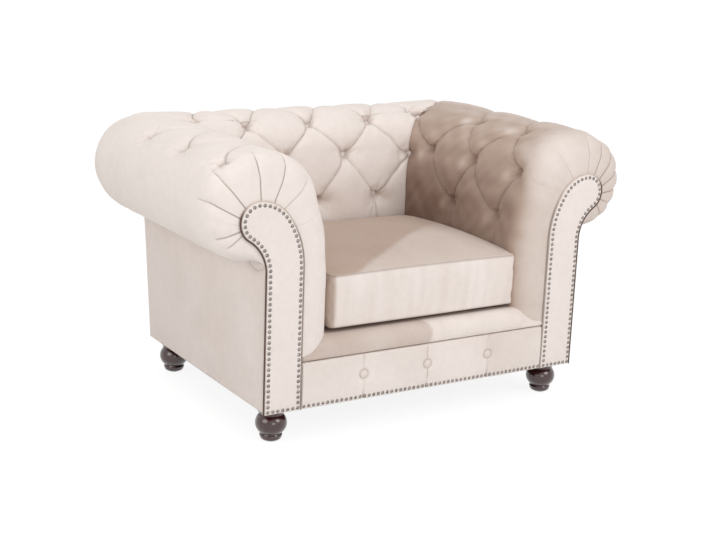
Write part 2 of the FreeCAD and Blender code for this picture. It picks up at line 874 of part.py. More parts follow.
formed("back_pad", back_pad())
back_buttons = [button(*seat_of(back_outline(), along, *tuft)) for row in back_tufts() for tuft in row]
back_buttons += [button(*place) for place in corner_buttons()]
formed("back_buttons", Part.makeCompound(back_buttons))


# Scroll facings with their welt and nails

facing = sketched(
    "facing_right", "XZ_Plane", closed(facing_outline(0)), "facing_thickness", ("0", "0", "0")
)
both_sides(facing, "facing")


def welt():
    """A thin piped cord that follows the facing's edge."""
    path = wire(facing_outline(-S.welt_radius - 0.3), across(S.welt_radius + 1))
    start = path.Edges[0].valueAt(0)
    section = Part.Wire(Part.makeCircle(S.welt_radius, start, V(0, 0, 1)))
    return path.makePipeShell([section], True, False)


both_sides(formed("facing_welt_right", welt()), "facing_welt")


def nail(point):
    """The domed head of a decorative nail, with its back against the fabric."""
    ball_radius = (S.nail_radius**2 + S.nail_rise**2) / (2 * S.nail_rise)
    centre = point + V(0, ball_radius - S.nail_rise, 0)
    ball = Part.makeSphere(ball_radius, centre)
    front = Part.makeBox(20, 20, 20, point + V(-10, -20, -10))
    return ball.common(front)


def nail_row(path, pitch, skip_ends):
    """Heads at even steps along a path, at about the nail pitch."""
    total = sum(edge.Length for edge in path.Edges)
    count = max(2, round(total / pitch))
    heads = []
    for index in range(skip_ends, count + 1 - skip_ends):
        left = total * index / count
        for edge in path.Edges:
            if left <= edge.Length + 1e-6:
                break
            left -= edge.Length
        heads.append(nail(edge.valueAt(edge.getParameterByLength(min(left, edge.Length)))))
    return heads


nail_line = facing_outline(S.nail_inset)
nail_base = S.foot_height + S.nail_inset
nail_line[0] = ((nail_line[0][0][0], nail_base), nail_line[0][1])
nail_line[-1] = (nail_line[-1][0], (nail_line[-1][1][0], nail_base))
foot_line = [(nail_line[0][0], nail_line[-1][1])]
facing_heads = nail_row(wire(nail_line, across(0)), S.nail_pitch, 0)
facing_heads += nail_row(wire(foot_line, across(0)), S.nail_pitch, 1)
both_sides(formed("facing_nails_right", Part.makeCompound(facing_heads)), "facing_nails")


# Front border with three sewn pleats and buttons, and a row of nails along its foot

border_half = facing_inner_x - 2 * S.welt_radius - 3 * S.joint_gap
border_places = [-S.border_button_pitch, 0, S.border_button_pitch]


def border_seat(x):
    return V(x, S.border_setback, S.border_button_height), V(0, -1, 0)


def front_border():
    height = S.border_top - S.foot_height
    panel = Part.makeBox(
        2 * border_half, S.border_thickness, height, V(-border_half, S.border_setback, S.foot_height)
    )
    tools = []
    for x in border_places:
        half = S.border_pleat_width / 2
        pleat = [
            (x - half, S.border_setback - 1),
            (x + half, S.border_setback - 1),
            (x, S.border_setback + S.border_pleat_depth),
        ]
        tools.append(prism(polygon(pleat), plan(S.foot_height - 1), V(0, 0, height + 2)))
        point, outward = border_seat(x)
        bottom = point - outward * S.border_dimple_depth
        tools.append(Part.makeCone(S.button_radius + 1, S.border_dimple_radius, 10, bottom, outward))
    return panel.cut(tools)


def border_button(x):
    point, outward = border_seat(x)
    sunk = S.button_inset + S.button_height - S.border_dimple_depth
    return button(point + outward * sunk, outward)


formed("front_border", front_border())
formed("border_buttons", Part.makeCompound([border_button(x) for x in border_places]))
border_nail_half = border_half - S.nail_radius - S.joint_gap
border_line = [((-border_nail_half, nail_base), (border_nail_half, nail_base))]
border_heads = nail_row(wire(border_line, across(S.border_setback)), S.nail_pitch, 0)
formed("border_nails", Part.makeCompound(border_heads))


# Soft front lip and the flat deck under the cushion

def front_lip():
    """The rounded front edge, between the facings and under the arm pads' noses."""
    front = S.border_setback
    shelf = S.facing_thickness - 2
    lip = [
        ((front, S.border_top + 1), (shelf, S.border_top + 1)),
        ((shelf, S.border_top + 1), (shelf, pad_base)),
        ((shelf, pad_base), (S.lip_depth, pad_base)),
        ((S.lip_depth, pad_base), (S.lip_depth, S.deck_top)),
        ((S.lip_depth, S.deck_top), (S.lip_depth - 12, S.deck_top)),
        ((S.lip_depth - 12, S.deck_top), (front + 12, S.deck_top - 16), (front, S.border_top + 14)),
        ((front, S.border_top + 14), (front, S.border_top + 1)),
    ]
    half = border_half
    solid = prism(lip, along(-half), V(2 * half, 0, 0))
    arms = []
    for side in (-1, 1):
        nose = [
            (side * (inner_x - 1), S.nose_length),
            (side * (inner_x - 1), S.nose_length + 1),
            (side * (facing_inner_x + 1), S.nose_length + 1),
            (side * (facing_inner_x + 1), 0),
            (side * (facing_inner_x - 3 * S.welt_radius - 4), 0),
        ]
        bulge = (side * (inner_x + 22), S.nose_length * 0.3)
        arc = (nose[4], bulge, nose[0])
        outline = polygon(nose)[:4] + [arc]
        arms.append(prism(outline, plan(pad_base), V(0, 0, S.deck_top)))
    return solid.cut(arms)


formed("front_lip", front_lip())
deck_base = "(spring_height + spring_wire_radius + insulator_rise + insulator_thickness + pad_rise)"
board(
    "deck_pad",
    (
        "-(body_width / 2 - arm_thickness - soft_gap)",
        "lip_depth + soft_gap",
        deck_base,
    ),
    (
        "2 * (body_width / 2 - arm_thickness - soft_gap)",
        "body_depth - back_thickness - lip_depth - 6 - 2 * soft_gap",
        f"deck_top - {deck_base}",
    ),
)


# Outside covers on the sides and back, and the black cloth under the seat

def lean_at(z):
    """How far the rear face has leaned back at a level."""
    return (z - S.foot_height) * math.tan(math.radians(S.back_lean))


side_panel_top = min(arm_roll_z - S.arm_roll_radius, hollow_top - 10 * S.joint_gap)
back_panel_top = back_roll_z - S.back_roll_radius - 1
side_outline = [
    (S.facing_thickness + S.joint_gap, S.foot_height),
    (S.body_depth, S.foot_height),
    (S.body_depth + lean_at(side_panel_top), side_panel_top),
    (board_back_y + S.joint_gap, side_panel_top),
    (board_back_y + S.joint_gap, S.facing_neck_height),
    (S.facing_thickness + S.joint_gap, S.facing_neck_height),
]
side_cover = sketched(
    "outside_arm_right",
    "YZ_Plane",
    polygon(side_outline),
    "front_board_inset - joint_gap",
    ("body_width / 2 - front_board_inset + joint_gap", "0", "0"),
)
both_sides(side_cover, "outside_arm")

rear_outline = [
    (S.body_depth - S.panel_thickness, S.foot_height),
    (S.body_depth, S.foot_height),
    (S.body_depth + lean_at(back_panel_top), back_panel_top),
    (S.body_depth - S.panel_thickness + lean_at(back_panel_top), back_panel_top),
]
sketched(
    "outside_back",
    "YZ_Plane",
    polygon(rear_outline),
    "body_width - 2 * front_board_inset",
    ("front_board_inset - body_width / 2", "0", "0"),
)


def dust_cover():
    """Thin cloth stapled under the rails, with a hole at each foot bolt."""
    half = side_x - S.front_board_inset
    start = S.facing_thickness + 2 * S.joint_gap
    depth = S.body_depth - S.panel_thickness - start
    cloth = Part.makeBox(2 * half, depth, S.dust_cover_thickness, V(-half, start, S.foot_height))
    return cloth.cut(bolt_bores())


formed("dust_cover", dust_cover())


# Turned feet on hanger bolts, with tee nuts in the corner blocks and felt glides

def foot_outline():
    """Half of the turning, from the glide up: sole, ring, ball, cove and top plate."""
    sole = S.glide_thickness
    ball = S.foot_ball_radius
    ring = S.foot_ring_radius
    top = S.foot_height - S.joint_gap
    ring_base = (ring, S.foot_ring_base)
    ring_top = (ring - 1.5, S.foot_ring_top)
    neck = (ring - 2.5, S.foot_neck_height)
    cove_base = (ball - S.foot_cove_depth, S.foot_cove_base)
    bead = (cove_base[0] + 2, S.foot_cove_base + 3)
    plate = ball - S.foot_plate_inset
    return [
        ((0, sole), (S.foot_sole_radius, sole)),
        ((S.foot_sole_radius, sole), (ring - 2.5, sole + 4), ring_base),
        (ring_base, (ring + 0.6, (S.foot_ring_base + S.foot_ring_top) / 2), ring_top),
        (ring_top, neck),
        (neck, (ball, S.foot_ball_height), cove_base),
        (cove_base, bead),
        (bead, (bead[0] + 1, S.foot_cove_top - 4), (plate, S.foot_cove_top)),
        ((plate, S.foot_cove_top), (plate, top)),
        ((plate, top), (0, top)),
        ((0, top), (0, sole)),
    ]


for corner, (x, y) in foot_places.items():
    body = doc.addObject("PartDesign::Body", "foot_" + corner)
    sketch = body.newObject("Sketcher::SketchObject", corner + "_turning")
    plane = [feature for feature in body.Origin.OriginFeatures if feature.Role == "XZ_Plane"][0]
    sketch.AttachmentSupport = [(plane, "")]
    sketch.MapMode = "FlatFace"
    sketch.addGeometry(curves(foot_outline(), plan(0)), False)
    turning = body.newObject("PartDesign::Revolution", corner + "_revolution")
    turning.Profile = sketch
    turning.ReferenceAxis = (sketch, ["V_Axis"])
    turning.Angle = 360
    bore = body.newObject("PartDesign::Pocket", corner + "_bore")
    circle = body.newObject("Sketcher::SketchObject", corner + "_bore_outline")
    floor = [feature for feature in body.Origin.OriginFeatures if feature.Role == "XY_Plane"][0]
    circle.AttachmentSupport = [(floor, "")]
    circle.MapMode = "FlatFace"
    circle.addGeometry(Part.Circle(V(0, 0, 0), V(0, 0, 1), S.bolt_radius + S.bolt_clearance), False)
    bind(circle, "AttachmentOffset.Base.z", "foot_height + 1")
    bore.Profile = circle
    bind(bore, "Length", "foot_bore_depth")
    body.Tip = bore
    side = "1" if x > 0 else "-1"
    bind(body, "Placement.Base.x", f"{side} * (body_width / 2 - foot_inset_side)")
    depth = "foot_inset_end" if y < S.body_depth / 2 else "(body_depth - foot_inset_end)"
    bind(body, "Placement.Base.y", f"{FRONT} + {depth}")
    keep(body, "foot_" + corner)


def at_each_foot(solid):
    copies = []
    for x, y in foot_places.values():
        copy = solid.copy()
        copy.translate(V(x, y, 0))
        copies.append(copy)
    return Part.makeCompound(copies)


block_top = S.rail_base + S.block_height
bolt_bottom = S.foot_height - S.bolt_depth
bolt_length = block_top + S.bolt_rise - bolt_bottom
bolt = Part.makeCylinder(S.bolt_radius, bolt_length, V(0, 0, bolt_bottom))
formed("foot_bolts", at_each_foot(bolt))
nut_base = block_top + S.wire_clearance
nut = Part.makeCylinder(S.nut_radius, S.nut_flange, V(0, 0, nut_base))
nut = nut.fuse(Part.makeCylinder(S.bolt_radius + S.nut_wall, S.nut_height, V(0, 0, nut_base)))
nut = nut.cut(Part.makeCylinder(S.bolt_radius + S.wire_clearance, bolt_length, V(0, 0, bolt_bottom)))
formed("foot_nuts", at_each_foot(nut))
glide = Part.makeCylinder(S.glide_radius, S.glide_thickness, V(0, 0, 0))
formed("glides", at_each_foot(glide))


# Loose seat cushion: a boxed foam block in fabric, crowned on top, with its zip behind

def cushion_plan(inset, z, draw):
    """The cushion's outline at a level: rounded corners and sides drawn in between them."""
    half = S.cushion_width / 2 - inset
    front = S.cushion_front + inset
    rear = S.cushion_front + S.cushion_depth - inset
    corner = S.cushion_corner
    turn = corner * (1 - math.sqrt(0.5))
    return wire(
        [
            ((corner - half, front), (0, front + draw), (half - corner, front)),
            ((half - corner, front), (half - turn, front + turn), (half, front + corner)),
            ((half, front + corner), (half - draw, (front + rear) / 2), (half, rear - corner)),
            ((half, rear - corner), (half - turn, rear - turn), (half - corner, rear)),
            ((half - corner, rear), (corner - half, rear)),
            ((corner - half, rear), (turn - half, rear - turn), (-half, rear - corner)),
            ((-half, rear - corner), (draw - half, (front + rear) / 2), (-half, front + corner)),
            ((-half, front + corner), (turn - half, front + turn), (corner - half, front)),
        ],
        plan(z),
    )


cushion_base = S.deck_top + S.cushion_lift
cushion_edge = cushion_base + S.cushion_edge_height


def seat_cushion():
    levels = [
        (12, cushion_base, 4),
        (3, cushion_base + 8, 5),
        (0, cushion_base + 30, 3),
        (0, cushion_edge - 30, 3),
        (3, cushion_edge - 6, 5),
        (14, cushion_edge + 3, 4),
        (50, cushion_edge + 0.55 * S.cushion_crown, 4),
        (105, cushion_edge + 0.84 * S.cushion_crown, 4),
        (170, cushion_edge + S.cushion_crown, 4),
    ]
    return Part.makeLoft([cushion_plan(*level) for level in levels], True, True)


formed("seat_cushion", seat_cushion())

zip_z = "(deck_top + cushion_lift + cushion_edge_height / 2)"
cushion_rear = "(cushion_front + cushion_depth)"
board(
    "zip_tape",
    ("-zip_length / 2", f"{cushion_rear} + joint_gap", f"{zip_z} - zip_width / 2"),
    ("zip_length", "zip_tape_thickness", "zip_width"),
)


def zip_slider():
    """The slider at its closed end, with a short pull tab hanging from it."""
    y = S.cushion_front + S.cushion_depth + 2 * S.joint_gap + S.zip_tape_thickness
    z = S.deck_top + S.cushion_lift + S.cushion_edge_height / 2
    length = S.zip_slider_length
    height = S.zip_slider_height
    width = S.zip_pull_width
    x = S.zip_length / 2 - length
    slider = Part.makeBox(length, S.zip_slider_thickness, height, V(x, y, z - height / 2))
    slider = slider.makeFillet(1, slider.Edges)
    corner = V(x + length / 2 - width / 2, y + 1, z - S.zip_pull_length)
    return slider.fuse(Part.makeBox(width, S.zip_pull_thickness, S.zip_pull_length, corner))


formed("zip_slider", zip_slider())

# Every object has to be sound before anything is written

doc.recompute()
for item in doc.Objects:
    faults = [state for state in item.State if state in ("Invalid", "Error")]
    if faults:
        raise RuntimeError(f"{item.Label} is {faults}")
os.makedirs("parts", exist_ok=True)
for piece in pieces:
    if piece.Shape.isNull() or not piece.Shape.isValid():
        raise RuntimeError(f"{piece.Label} has no sound shape")
    piece.Shape.exportStep(f"parts/{piece.Label}.step")
whole = Part.makeCompound([piece.Shape for piece in pieces]).BoundBox
print(len(pieces), "pieces", round(whole.XLength, 1), round(whole.YLength, 1), round(whole.ZLength, 1))
print("middle", round(whole.Center.x, 3), round(whole.Center.y, 3), "floor", round(whole.ZMin, 3))
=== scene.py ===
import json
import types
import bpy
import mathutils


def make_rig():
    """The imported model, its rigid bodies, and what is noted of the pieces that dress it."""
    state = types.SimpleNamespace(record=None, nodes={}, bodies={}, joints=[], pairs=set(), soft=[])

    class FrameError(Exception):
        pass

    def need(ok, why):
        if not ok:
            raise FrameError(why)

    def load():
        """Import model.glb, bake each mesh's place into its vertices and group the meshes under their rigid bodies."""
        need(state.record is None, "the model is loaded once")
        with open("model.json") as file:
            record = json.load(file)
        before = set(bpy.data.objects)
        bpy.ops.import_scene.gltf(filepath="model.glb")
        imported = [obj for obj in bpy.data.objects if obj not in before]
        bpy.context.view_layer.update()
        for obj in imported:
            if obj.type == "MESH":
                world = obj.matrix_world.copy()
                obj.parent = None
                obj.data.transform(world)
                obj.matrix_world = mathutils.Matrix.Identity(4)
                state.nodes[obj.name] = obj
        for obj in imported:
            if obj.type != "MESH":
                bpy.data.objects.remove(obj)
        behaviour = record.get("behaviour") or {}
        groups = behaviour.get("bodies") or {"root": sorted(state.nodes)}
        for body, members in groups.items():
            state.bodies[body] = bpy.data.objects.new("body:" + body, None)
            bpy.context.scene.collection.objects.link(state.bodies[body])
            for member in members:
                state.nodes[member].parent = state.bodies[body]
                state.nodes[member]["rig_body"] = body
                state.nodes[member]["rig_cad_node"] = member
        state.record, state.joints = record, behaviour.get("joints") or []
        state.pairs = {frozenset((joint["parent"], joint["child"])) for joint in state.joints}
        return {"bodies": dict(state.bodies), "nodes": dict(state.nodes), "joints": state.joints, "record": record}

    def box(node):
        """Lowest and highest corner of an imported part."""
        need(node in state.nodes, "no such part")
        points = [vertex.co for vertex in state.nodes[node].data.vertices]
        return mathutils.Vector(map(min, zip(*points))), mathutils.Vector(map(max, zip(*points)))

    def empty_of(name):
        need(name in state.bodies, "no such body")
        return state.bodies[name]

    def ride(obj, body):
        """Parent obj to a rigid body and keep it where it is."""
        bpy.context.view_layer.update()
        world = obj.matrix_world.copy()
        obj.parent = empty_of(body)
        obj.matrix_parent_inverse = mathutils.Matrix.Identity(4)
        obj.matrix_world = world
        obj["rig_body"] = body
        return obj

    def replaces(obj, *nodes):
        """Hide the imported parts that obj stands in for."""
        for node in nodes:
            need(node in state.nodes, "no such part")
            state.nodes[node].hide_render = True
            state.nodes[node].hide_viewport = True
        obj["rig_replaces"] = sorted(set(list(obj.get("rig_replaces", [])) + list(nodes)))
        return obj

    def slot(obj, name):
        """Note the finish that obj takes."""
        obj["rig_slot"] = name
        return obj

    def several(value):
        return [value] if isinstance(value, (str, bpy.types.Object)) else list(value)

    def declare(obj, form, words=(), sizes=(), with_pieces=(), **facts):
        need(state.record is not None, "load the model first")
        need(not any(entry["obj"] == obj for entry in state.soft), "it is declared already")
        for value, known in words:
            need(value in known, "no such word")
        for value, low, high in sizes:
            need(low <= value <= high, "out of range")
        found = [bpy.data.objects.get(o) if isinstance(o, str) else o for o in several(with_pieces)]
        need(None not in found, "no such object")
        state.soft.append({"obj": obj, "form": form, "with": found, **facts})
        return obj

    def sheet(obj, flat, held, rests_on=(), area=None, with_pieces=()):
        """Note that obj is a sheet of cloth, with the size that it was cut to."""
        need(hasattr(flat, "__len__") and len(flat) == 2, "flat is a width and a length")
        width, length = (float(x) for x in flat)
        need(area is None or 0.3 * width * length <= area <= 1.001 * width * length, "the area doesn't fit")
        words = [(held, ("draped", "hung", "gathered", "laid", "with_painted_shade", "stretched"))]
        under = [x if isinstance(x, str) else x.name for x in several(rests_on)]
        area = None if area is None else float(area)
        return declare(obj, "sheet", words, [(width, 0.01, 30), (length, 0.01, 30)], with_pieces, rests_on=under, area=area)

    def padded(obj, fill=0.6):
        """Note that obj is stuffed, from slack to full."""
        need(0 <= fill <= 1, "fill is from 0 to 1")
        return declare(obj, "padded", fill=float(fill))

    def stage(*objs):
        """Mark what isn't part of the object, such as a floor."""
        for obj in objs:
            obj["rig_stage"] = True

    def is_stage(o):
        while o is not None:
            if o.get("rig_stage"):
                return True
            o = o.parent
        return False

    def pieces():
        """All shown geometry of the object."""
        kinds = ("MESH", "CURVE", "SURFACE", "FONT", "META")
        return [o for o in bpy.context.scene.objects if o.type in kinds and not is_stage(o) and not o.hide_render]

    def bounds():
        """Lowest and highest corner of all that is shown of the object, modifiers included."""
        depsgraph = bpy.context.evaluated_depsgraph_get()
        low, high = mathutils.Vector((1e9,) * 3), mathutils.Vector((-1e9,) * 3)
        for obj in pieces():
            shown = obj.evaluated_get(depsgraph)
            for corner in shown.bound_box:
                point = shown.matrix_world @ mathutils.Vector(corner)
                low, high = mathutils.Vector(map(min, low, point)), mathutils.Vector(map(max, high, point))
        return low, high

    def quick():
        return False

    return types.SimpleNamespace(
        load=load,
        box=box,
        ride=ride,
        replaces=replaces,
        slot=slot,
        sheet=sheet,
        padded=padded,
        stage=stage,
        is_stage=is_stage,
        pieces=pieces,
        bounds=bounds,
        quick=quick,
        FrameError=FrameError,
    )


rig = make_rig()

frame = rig.load()
cad_low, cad_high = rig.bounds()

import json
import math

import bmesh
import bpy
import numpy as np
from mathutils import Matrix, Vector

# Hardwood frame: sawn and planed boards of pale beech, butted, glued and screwed together.
# The covers hide nearly all of it; only its lower edges show from beneath.


def tint(red, green, blue):
    """A colour given as it looks on a screen, out of 255, in the linear values that shaders use."""
    linear = []
    for level in (red, green, blue):
        share = level / 255
        linear.append(share / 12.92 if share <= 0.04045 else ((share + 0.055) / 1.055) ** 2.4)
    return (*linear, 1.0)


def node(tree, kind, values=None, **settings):
    """A shader node with its settings, its socket values and its incoming links."""
    made = tree.nodes.new(kind)
    for name, value in settings.items():
        setattr(made, name, value)
    for socket, value in (values or {}).items():
        if isinstance(value, bpy.types.NodeSocket):
            tree.links.new(value, made.inputs[socket])
        else:
            made.inputs[socket].default_value = value
    return made


def mix(tree, share, first, second):
    """Two colours mixed by a share."""
    return node(tree, "ShaderNodeMix", {0: share, 6: first, 7: second}, data_type="RGBA").outputs[2]


def maths(tree, operation, first, second=0.0, clamp=False):
    values = {0: first, 1: second}
    return node(tree, "ShaderNodeMath", values, operation=operation, use_clamp=clamp).outputs[0]


def ranged(tree, value, low, high, first, second):
    """A value moved from one range to another, held at the ends."""
    values = {0: value, 1: low, 2: high, 3: first, 4: second}
    return node(tree, "ShaderNodeMapRange", values).outputs[0]


def noise(tree, place, scale, detail=2.0, roughness=0.5):
    values = {"Vector": place, "Scale": scale, "Detail": detail, "Roughness": roughness}
    return node(tree, "ShaderNodeTexNoise", values).outputs["Fac"]


def effect(name, colours, values, outputs):
    """A new node group with named sockets; returns its tree, what it is given and what it gives."""
    tree = bpy.data.node_groups.new(name, "ShaderNodeTree")
    for labels, kind in ((colours, "NodeSocketColor"), (values, "NodeSocketFloat")):
        for label in labels:
            tree.interface.new_socket(label, in_out="INPUT", socket_type=kind)
    kinds = {"Colour": "NodeSocketColor", "Normal": "NodeSocketVector", "Roughness": "NodeSocketFloat"}
    for label in outputs:
        tree.interface.new_socket(label, in_out="OUTPUT", socket_type=kinds[label])
    return tree, tree.nodes.new("NodeGroupInput").outputs, tree.nodes.new("NodeGroupOutput").inputs


def painted(name, settings, group, values, feeds=None):
    """A material whose shader a group feeds; text among the group's values names a mark on the mesh."""
    material = bpy.data.materials.new(name)
    material.use_nodes = True
    tree = material.node_tree
    shader = tree.nodes["Principled BSDF"]
    for socket, value in settings.items():
        shader.inputs[socket].default_value = value
    read = dict(values)
    for socket, value in values.items():
        if isinstance(value, str):
            read[socket] = node(tree, "ShaderNodeAttribute", attribute_name=value).outputs["Fac"]
    outputs = node(tree, "ShaderNodeGroup", read, node_tree=group).outputs
    for label in feeds or outputs.keys():
        tree.links.new(outputs[label], shader.inputs["Base Color" if label == "Colour" else label])
    return material, tree, shader, outputs


def repaint(material, *labels):
    """Gives CAD pieces a finish in place of the one that they were packed with."""
    for label in labels:
        mesh = frame["nodes"][label].data
        mesh.materials.clear()
        mesh.materials.append(material)


wood_grain, given, result = effect("wood_grain", ("Pale", "Dark"), ("Rings",), ("Colour", "Normal"))
place = node(wood_grain, "ShaderNodeTexCoord").outputs["Object"]
values = {"Vector": place, "Scale": (1.0, 1.0, 0.12)}
stretched = node(wood_grain, "ShaderNodeMapping", values).outputs[0]
values = {"Vector": stretched, "Scale": given["Rings"], "Distortion": 3.5, "Detail": 2.0}
rings = node(wood_grain, "ShaderNodeTexWave", values).outputs["Fac"]
pores = noise(wood_grain, stretched, 620.0, 3.0)
bands = maths(wood_grain, "MULTIPLY", rings, 0.6)
figure = maths(wood_grain, "ADD", bands, maths(wood_grain, "MULTIPLY", pores, 0.4))
bump = node(wood_grain, "ShaderNodeBump", {"Height": pores, "Strength": 0.12, "Distance": 0.0004})
wood_grain.links.new(mix(wood_grain, figure, given["Dark"], given["Pale"]), result["Colour"])
wood_grain.links.new(bump.outputs[0], result["Normal"])

values = {"Pale": tint(214, 184, 144), "Dark": tint(176, 140, 98), "Rings": 26.0}
beech = painted("beech_boards", {"Roughness": 0.62}, wood_grain, values)[0]
sided = ("seat_rail", "rear_post", "arm_tack_rail", "arm_slat", "arm_top_rail", "arm_front_board")
repaint(beech, *(f"{board}_{side}" for board in sided for side in ("left", "right")))
repaint(beech, "seat_rail_front", "seat_rail_rear", "corner_blocks")
repaint(beech, "back_tack_rail", "back_slat", "back_top_rail", "back_centre_post")

# Seat suspension: zigzag springs of drawn steel wire in pressed clips, with a felt sheet over them
# and jute straps stapled upright behind the pads.

metal_wear, given, result = effect("metal_wear", ("Bright", "Dull"), ("Size",), ("Colour", "Roughness"))
place = node(metal_wear, "ShaderNodeTexCoord").outputs["Object"]
spots = noise(metal_wear, place, given["Size"], 3.0)
worn = ranged(metal_wear, spots, 0.35, 0.65, 0.0, 1.0)
metal_wear.links.new(mix(metal_wear, worn, given["Bright"], given["Dull"]), result["Colour"])
metal_wear.links.new(ranged(metal_wear, spots, 0.3, 0.7, 0.28, 0.5), result["Roughness"])


def plain_metal(name, bright, dull, size):
    values = {"Bright": bright, "Dull": dull, "Size": size}
    return painted(name, {"Metallic": 1.0}, metal_wear, values)[0]


spring_wire = plain_metal("spring_wire", tint(150, 152, 156), tint(96, 96, 98), 150.0)
repaint(spring_wire, "seat_springs", "spring_clips")

cloth_weave, given, result = effect("cloth_weave", ("Thread", "Gap"), ("Count",), ("Colour", "Normal"))
place = node(cloth_weave, "ShaderNodeTexCoord").outputs["Object"]
values = {"Vector": place, "Scale": given["Count"], "Distortion": 0.6}
threads = [
    node(cloth_weave, "ShaderNodeTexWave", values, bands_direction=direction).outputs["Fac"]
    for direction in ("X", "Z")
]
crossing = maths(cloth_weave, "MULTIPLY", *threads)
bump = node(cloth_weave, "ShaderNodeBump", {"Height": crossing, "Strength": 0.35, "Distance": 0.0006})
cloth_weave.links.new(mix(cloth_weave, crossing, given["Gap"], given["Thread"]), result["Colour"])
cloth_weave.links.new(bump.outputs[0], result["Normal"])


def plain_cloth(name, thread, gap, count):
    values = {"Thread": thread, "Gap": gap, "Count": count}
    return painted(name, {"Roughness": 0.9}, cloth_weave, values)[0]


jute = plain_cloth("jute_straps", tint(190, 160, 112), tint(120, 92, 58), 260.0)
repaint(jute, "arm_webbing_left", "arm_webbing_right", "back_webbing")
felt = plain_cloth("grey_felt", tint(150, 148, 146), tint(118, 116, 114), 90.0)
repaint(felt, "spring_insulator")

# Velour covers: one short-pile cloth in cream. Painted pile shade stands for its sheen and the shade
# that falls on it, from taupe to deep brown, a little lighter on the crowns; painted shade darkens the
# folds. Its random patches and crushed flecks are the cloth's own tone.

velour_pile, given, result = effect(
    "velour_pile",
    ("Lit", "Painted_pile_shade", "Painted_deep_shade", "Fold"),
    ("Nap", "Crease"),
    ("Colour", "Roughness", "Normal"),
)
place = node(velour_pile, "ShaderNodeTexCoord").outputs["Object"]
patches = noise(velour_pile, place, 9.0, 3.0)
uneven = ranged(velour_pile, patches, 0.42, 0.68, -0.03, 0.05)
tone_and_painted_shade = maths(velour_pile, "ADD", given["Nap"], uneven)
crushed = noise(velour_pile, place, 55.0, 4.0, 0.6)
values = {"Vector": place, "Scale": (260.0, 260.0, 34.0)}
streaks = node(velour_pile, "ShaderNodeMapping", values).outputs[0]
strokes = noise(velour_pile, streaks, 1.0, 2.0)
# painted shade: the pile shade mark takes cream to taupe, and past 1 takes taupe to deep brown
first_half = ranged(velour_pile, tone_and_painted_shade, 0.0, 1.0, 0.0, 1.0)
second_half = ranged(velour_pile, tone_and_painted_shade, 1.0, 2.0, 0.0, 1.0)
colour = mix(velour_pile, first_half, given["Lit"], given["Painted_pile_shade"])
colour = mix(velour_pile, second_half, colour, given["Painted_deep_shade"])
crushing_and_sheen = maths(velour_pile, "MULTIPLY", crushed, 0.7)
flecks = maths(velour_pile, "ADD", crushing_and_sheen, maths(velour_pile, "MULTIPLY", strokes, 0.3))
level = ranged(velour_pile, flecks, 0.3, 0.7, 0.965, 1.03)
values = {0: colour, "Scale": level}
shaded = node(velour_pile, "ShaderNodeVectorMath", values, operation="SCALE").outputs[0]
# painted shade: creases, seams and recesses are mixed towards the shade colour
painted_shade_share = ranged(velour_pile, given["Crease"], 0.15, 1.0, 0.0, 0.85)
with_painted_shade = mix(velour_pile, painted_shade_share, shaded, given["Fold"])
tips = noise(velour_pile, place, 1500.0, 2.0)
height = maths(velour_pile, "ADD", tips, maths(velour_pile, "MULTIPLY", crushed, 1.5))
bump = node(velour_pile, "ShaderNodeBump", {"Height": height, "Strength": 0.22, "Distance": 0.0006})
velour_pile.links.new(with_painted_shade, result["Colour"])
velour_pile.links.new(ranged(velour_pile, crushed, 0.3, 0.7, 0.66, 0.8), result["Roughness"])
velour_pile.links.new(bump.outputs[0], result["Normal"])

# the painted pile shade and the painted shade of creases, seams and recesses are read from each piece's own points
# cream is the cloth's colour; taupe, deep brown and the fold brown are painted shade
values = {"Lit": tint(236, 227, 221), "Painted_pile_shade": tint(184, 163, 149), "Painted_deep_shade": tint(122, 96, 84)}
values |= {"Fold": tint(112, 84, 72), "Nap": "nap", "Crease": "crease"}
sheen = {"Sheen Weight": 0.25, "Sheen Roughness": 0.35, "Sheen Tint": tint(255, 246, 238)}
cover = painted("velour", sheen | {"Specular IOR Level": 0.25}, velour_pile, values)[0]

# Arm and back pads: layers of foam and wadding over webbing, in velour that is drawn down on deep
# buttons so that it folds between them. The arms' covers are pleated into the scroll facings.

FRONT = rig.box("facing_right")[0].y
SIDE_X = 0.480
BODY_FOOT = 0.089
STRAIGHT_TOP = 0.449
PAD_BASE = 0.2203
ARM_ROLL = (0.509, 0.605)
ARM_RADIUS = 0.134
BACK_ROLL = (0.742, 0.602)
BACK_RADIUS = 0.130
CORNER_AXIS = (0.439, 0.672)
NOSE_START = 0.006
NOSE_LENGTH = 0.092
NOSE_FULLNESS = 3.0
COLUMN_SWELL = 0.012
NOSE_TUCK_TOP = 0.262
NOSE_TUCK_HEIGHT = 0.0415
# how many rows of points each stretch of a pad's section has, from its foot up
PROFILE_ROWS = (30, 26, 49, 42, 38, 70, 36, 6)


def arc_points(start, middle, end, count):
    """Even steps along the arc from start through middle to end, without its last point."""
    a, b, c = (complex(*point) for point in (start, middle, end))
    ratio = (c - a) / (b - a)
    if abs(ratio.imag) < 1e-6:
        steps = a + (c - a) * np.arange(count) / count
        return np.stack([steps.real, steps.imag], 1)
    centre = a + (b - a) * (ratio - abs(ratio) ** 2) / (2j * ratio.imag)
    sweep = np.angle((b - centre) / (a - centre)) + np.angle((c - centre) / (b - centre))
    steps = centre + (a - centre) * np.exp(1j * sweep * np.arange(count) / count)
    return np.stack([steps.real, steps.imag], 1)


def round_points(centre, radius, first, last, count):
    """Even steps round a roll between two angles in degrees, without the last point."""
    angles = np.radians(first + (last - first) * np.arange(count) / count)
    return np.stack([centre[0] + radius * np.cos(angles), centre[1] + radius * np.sin(angles)], 1)


def eased(points, times):
    """An outline with its small kinks rubbed down, its ends held."""
    points = points.copy()
    for _ in range(times):
        points[1:-1] = (points[:-2] + 2 * points[1:-1] + points[2:]) / 4
    return points


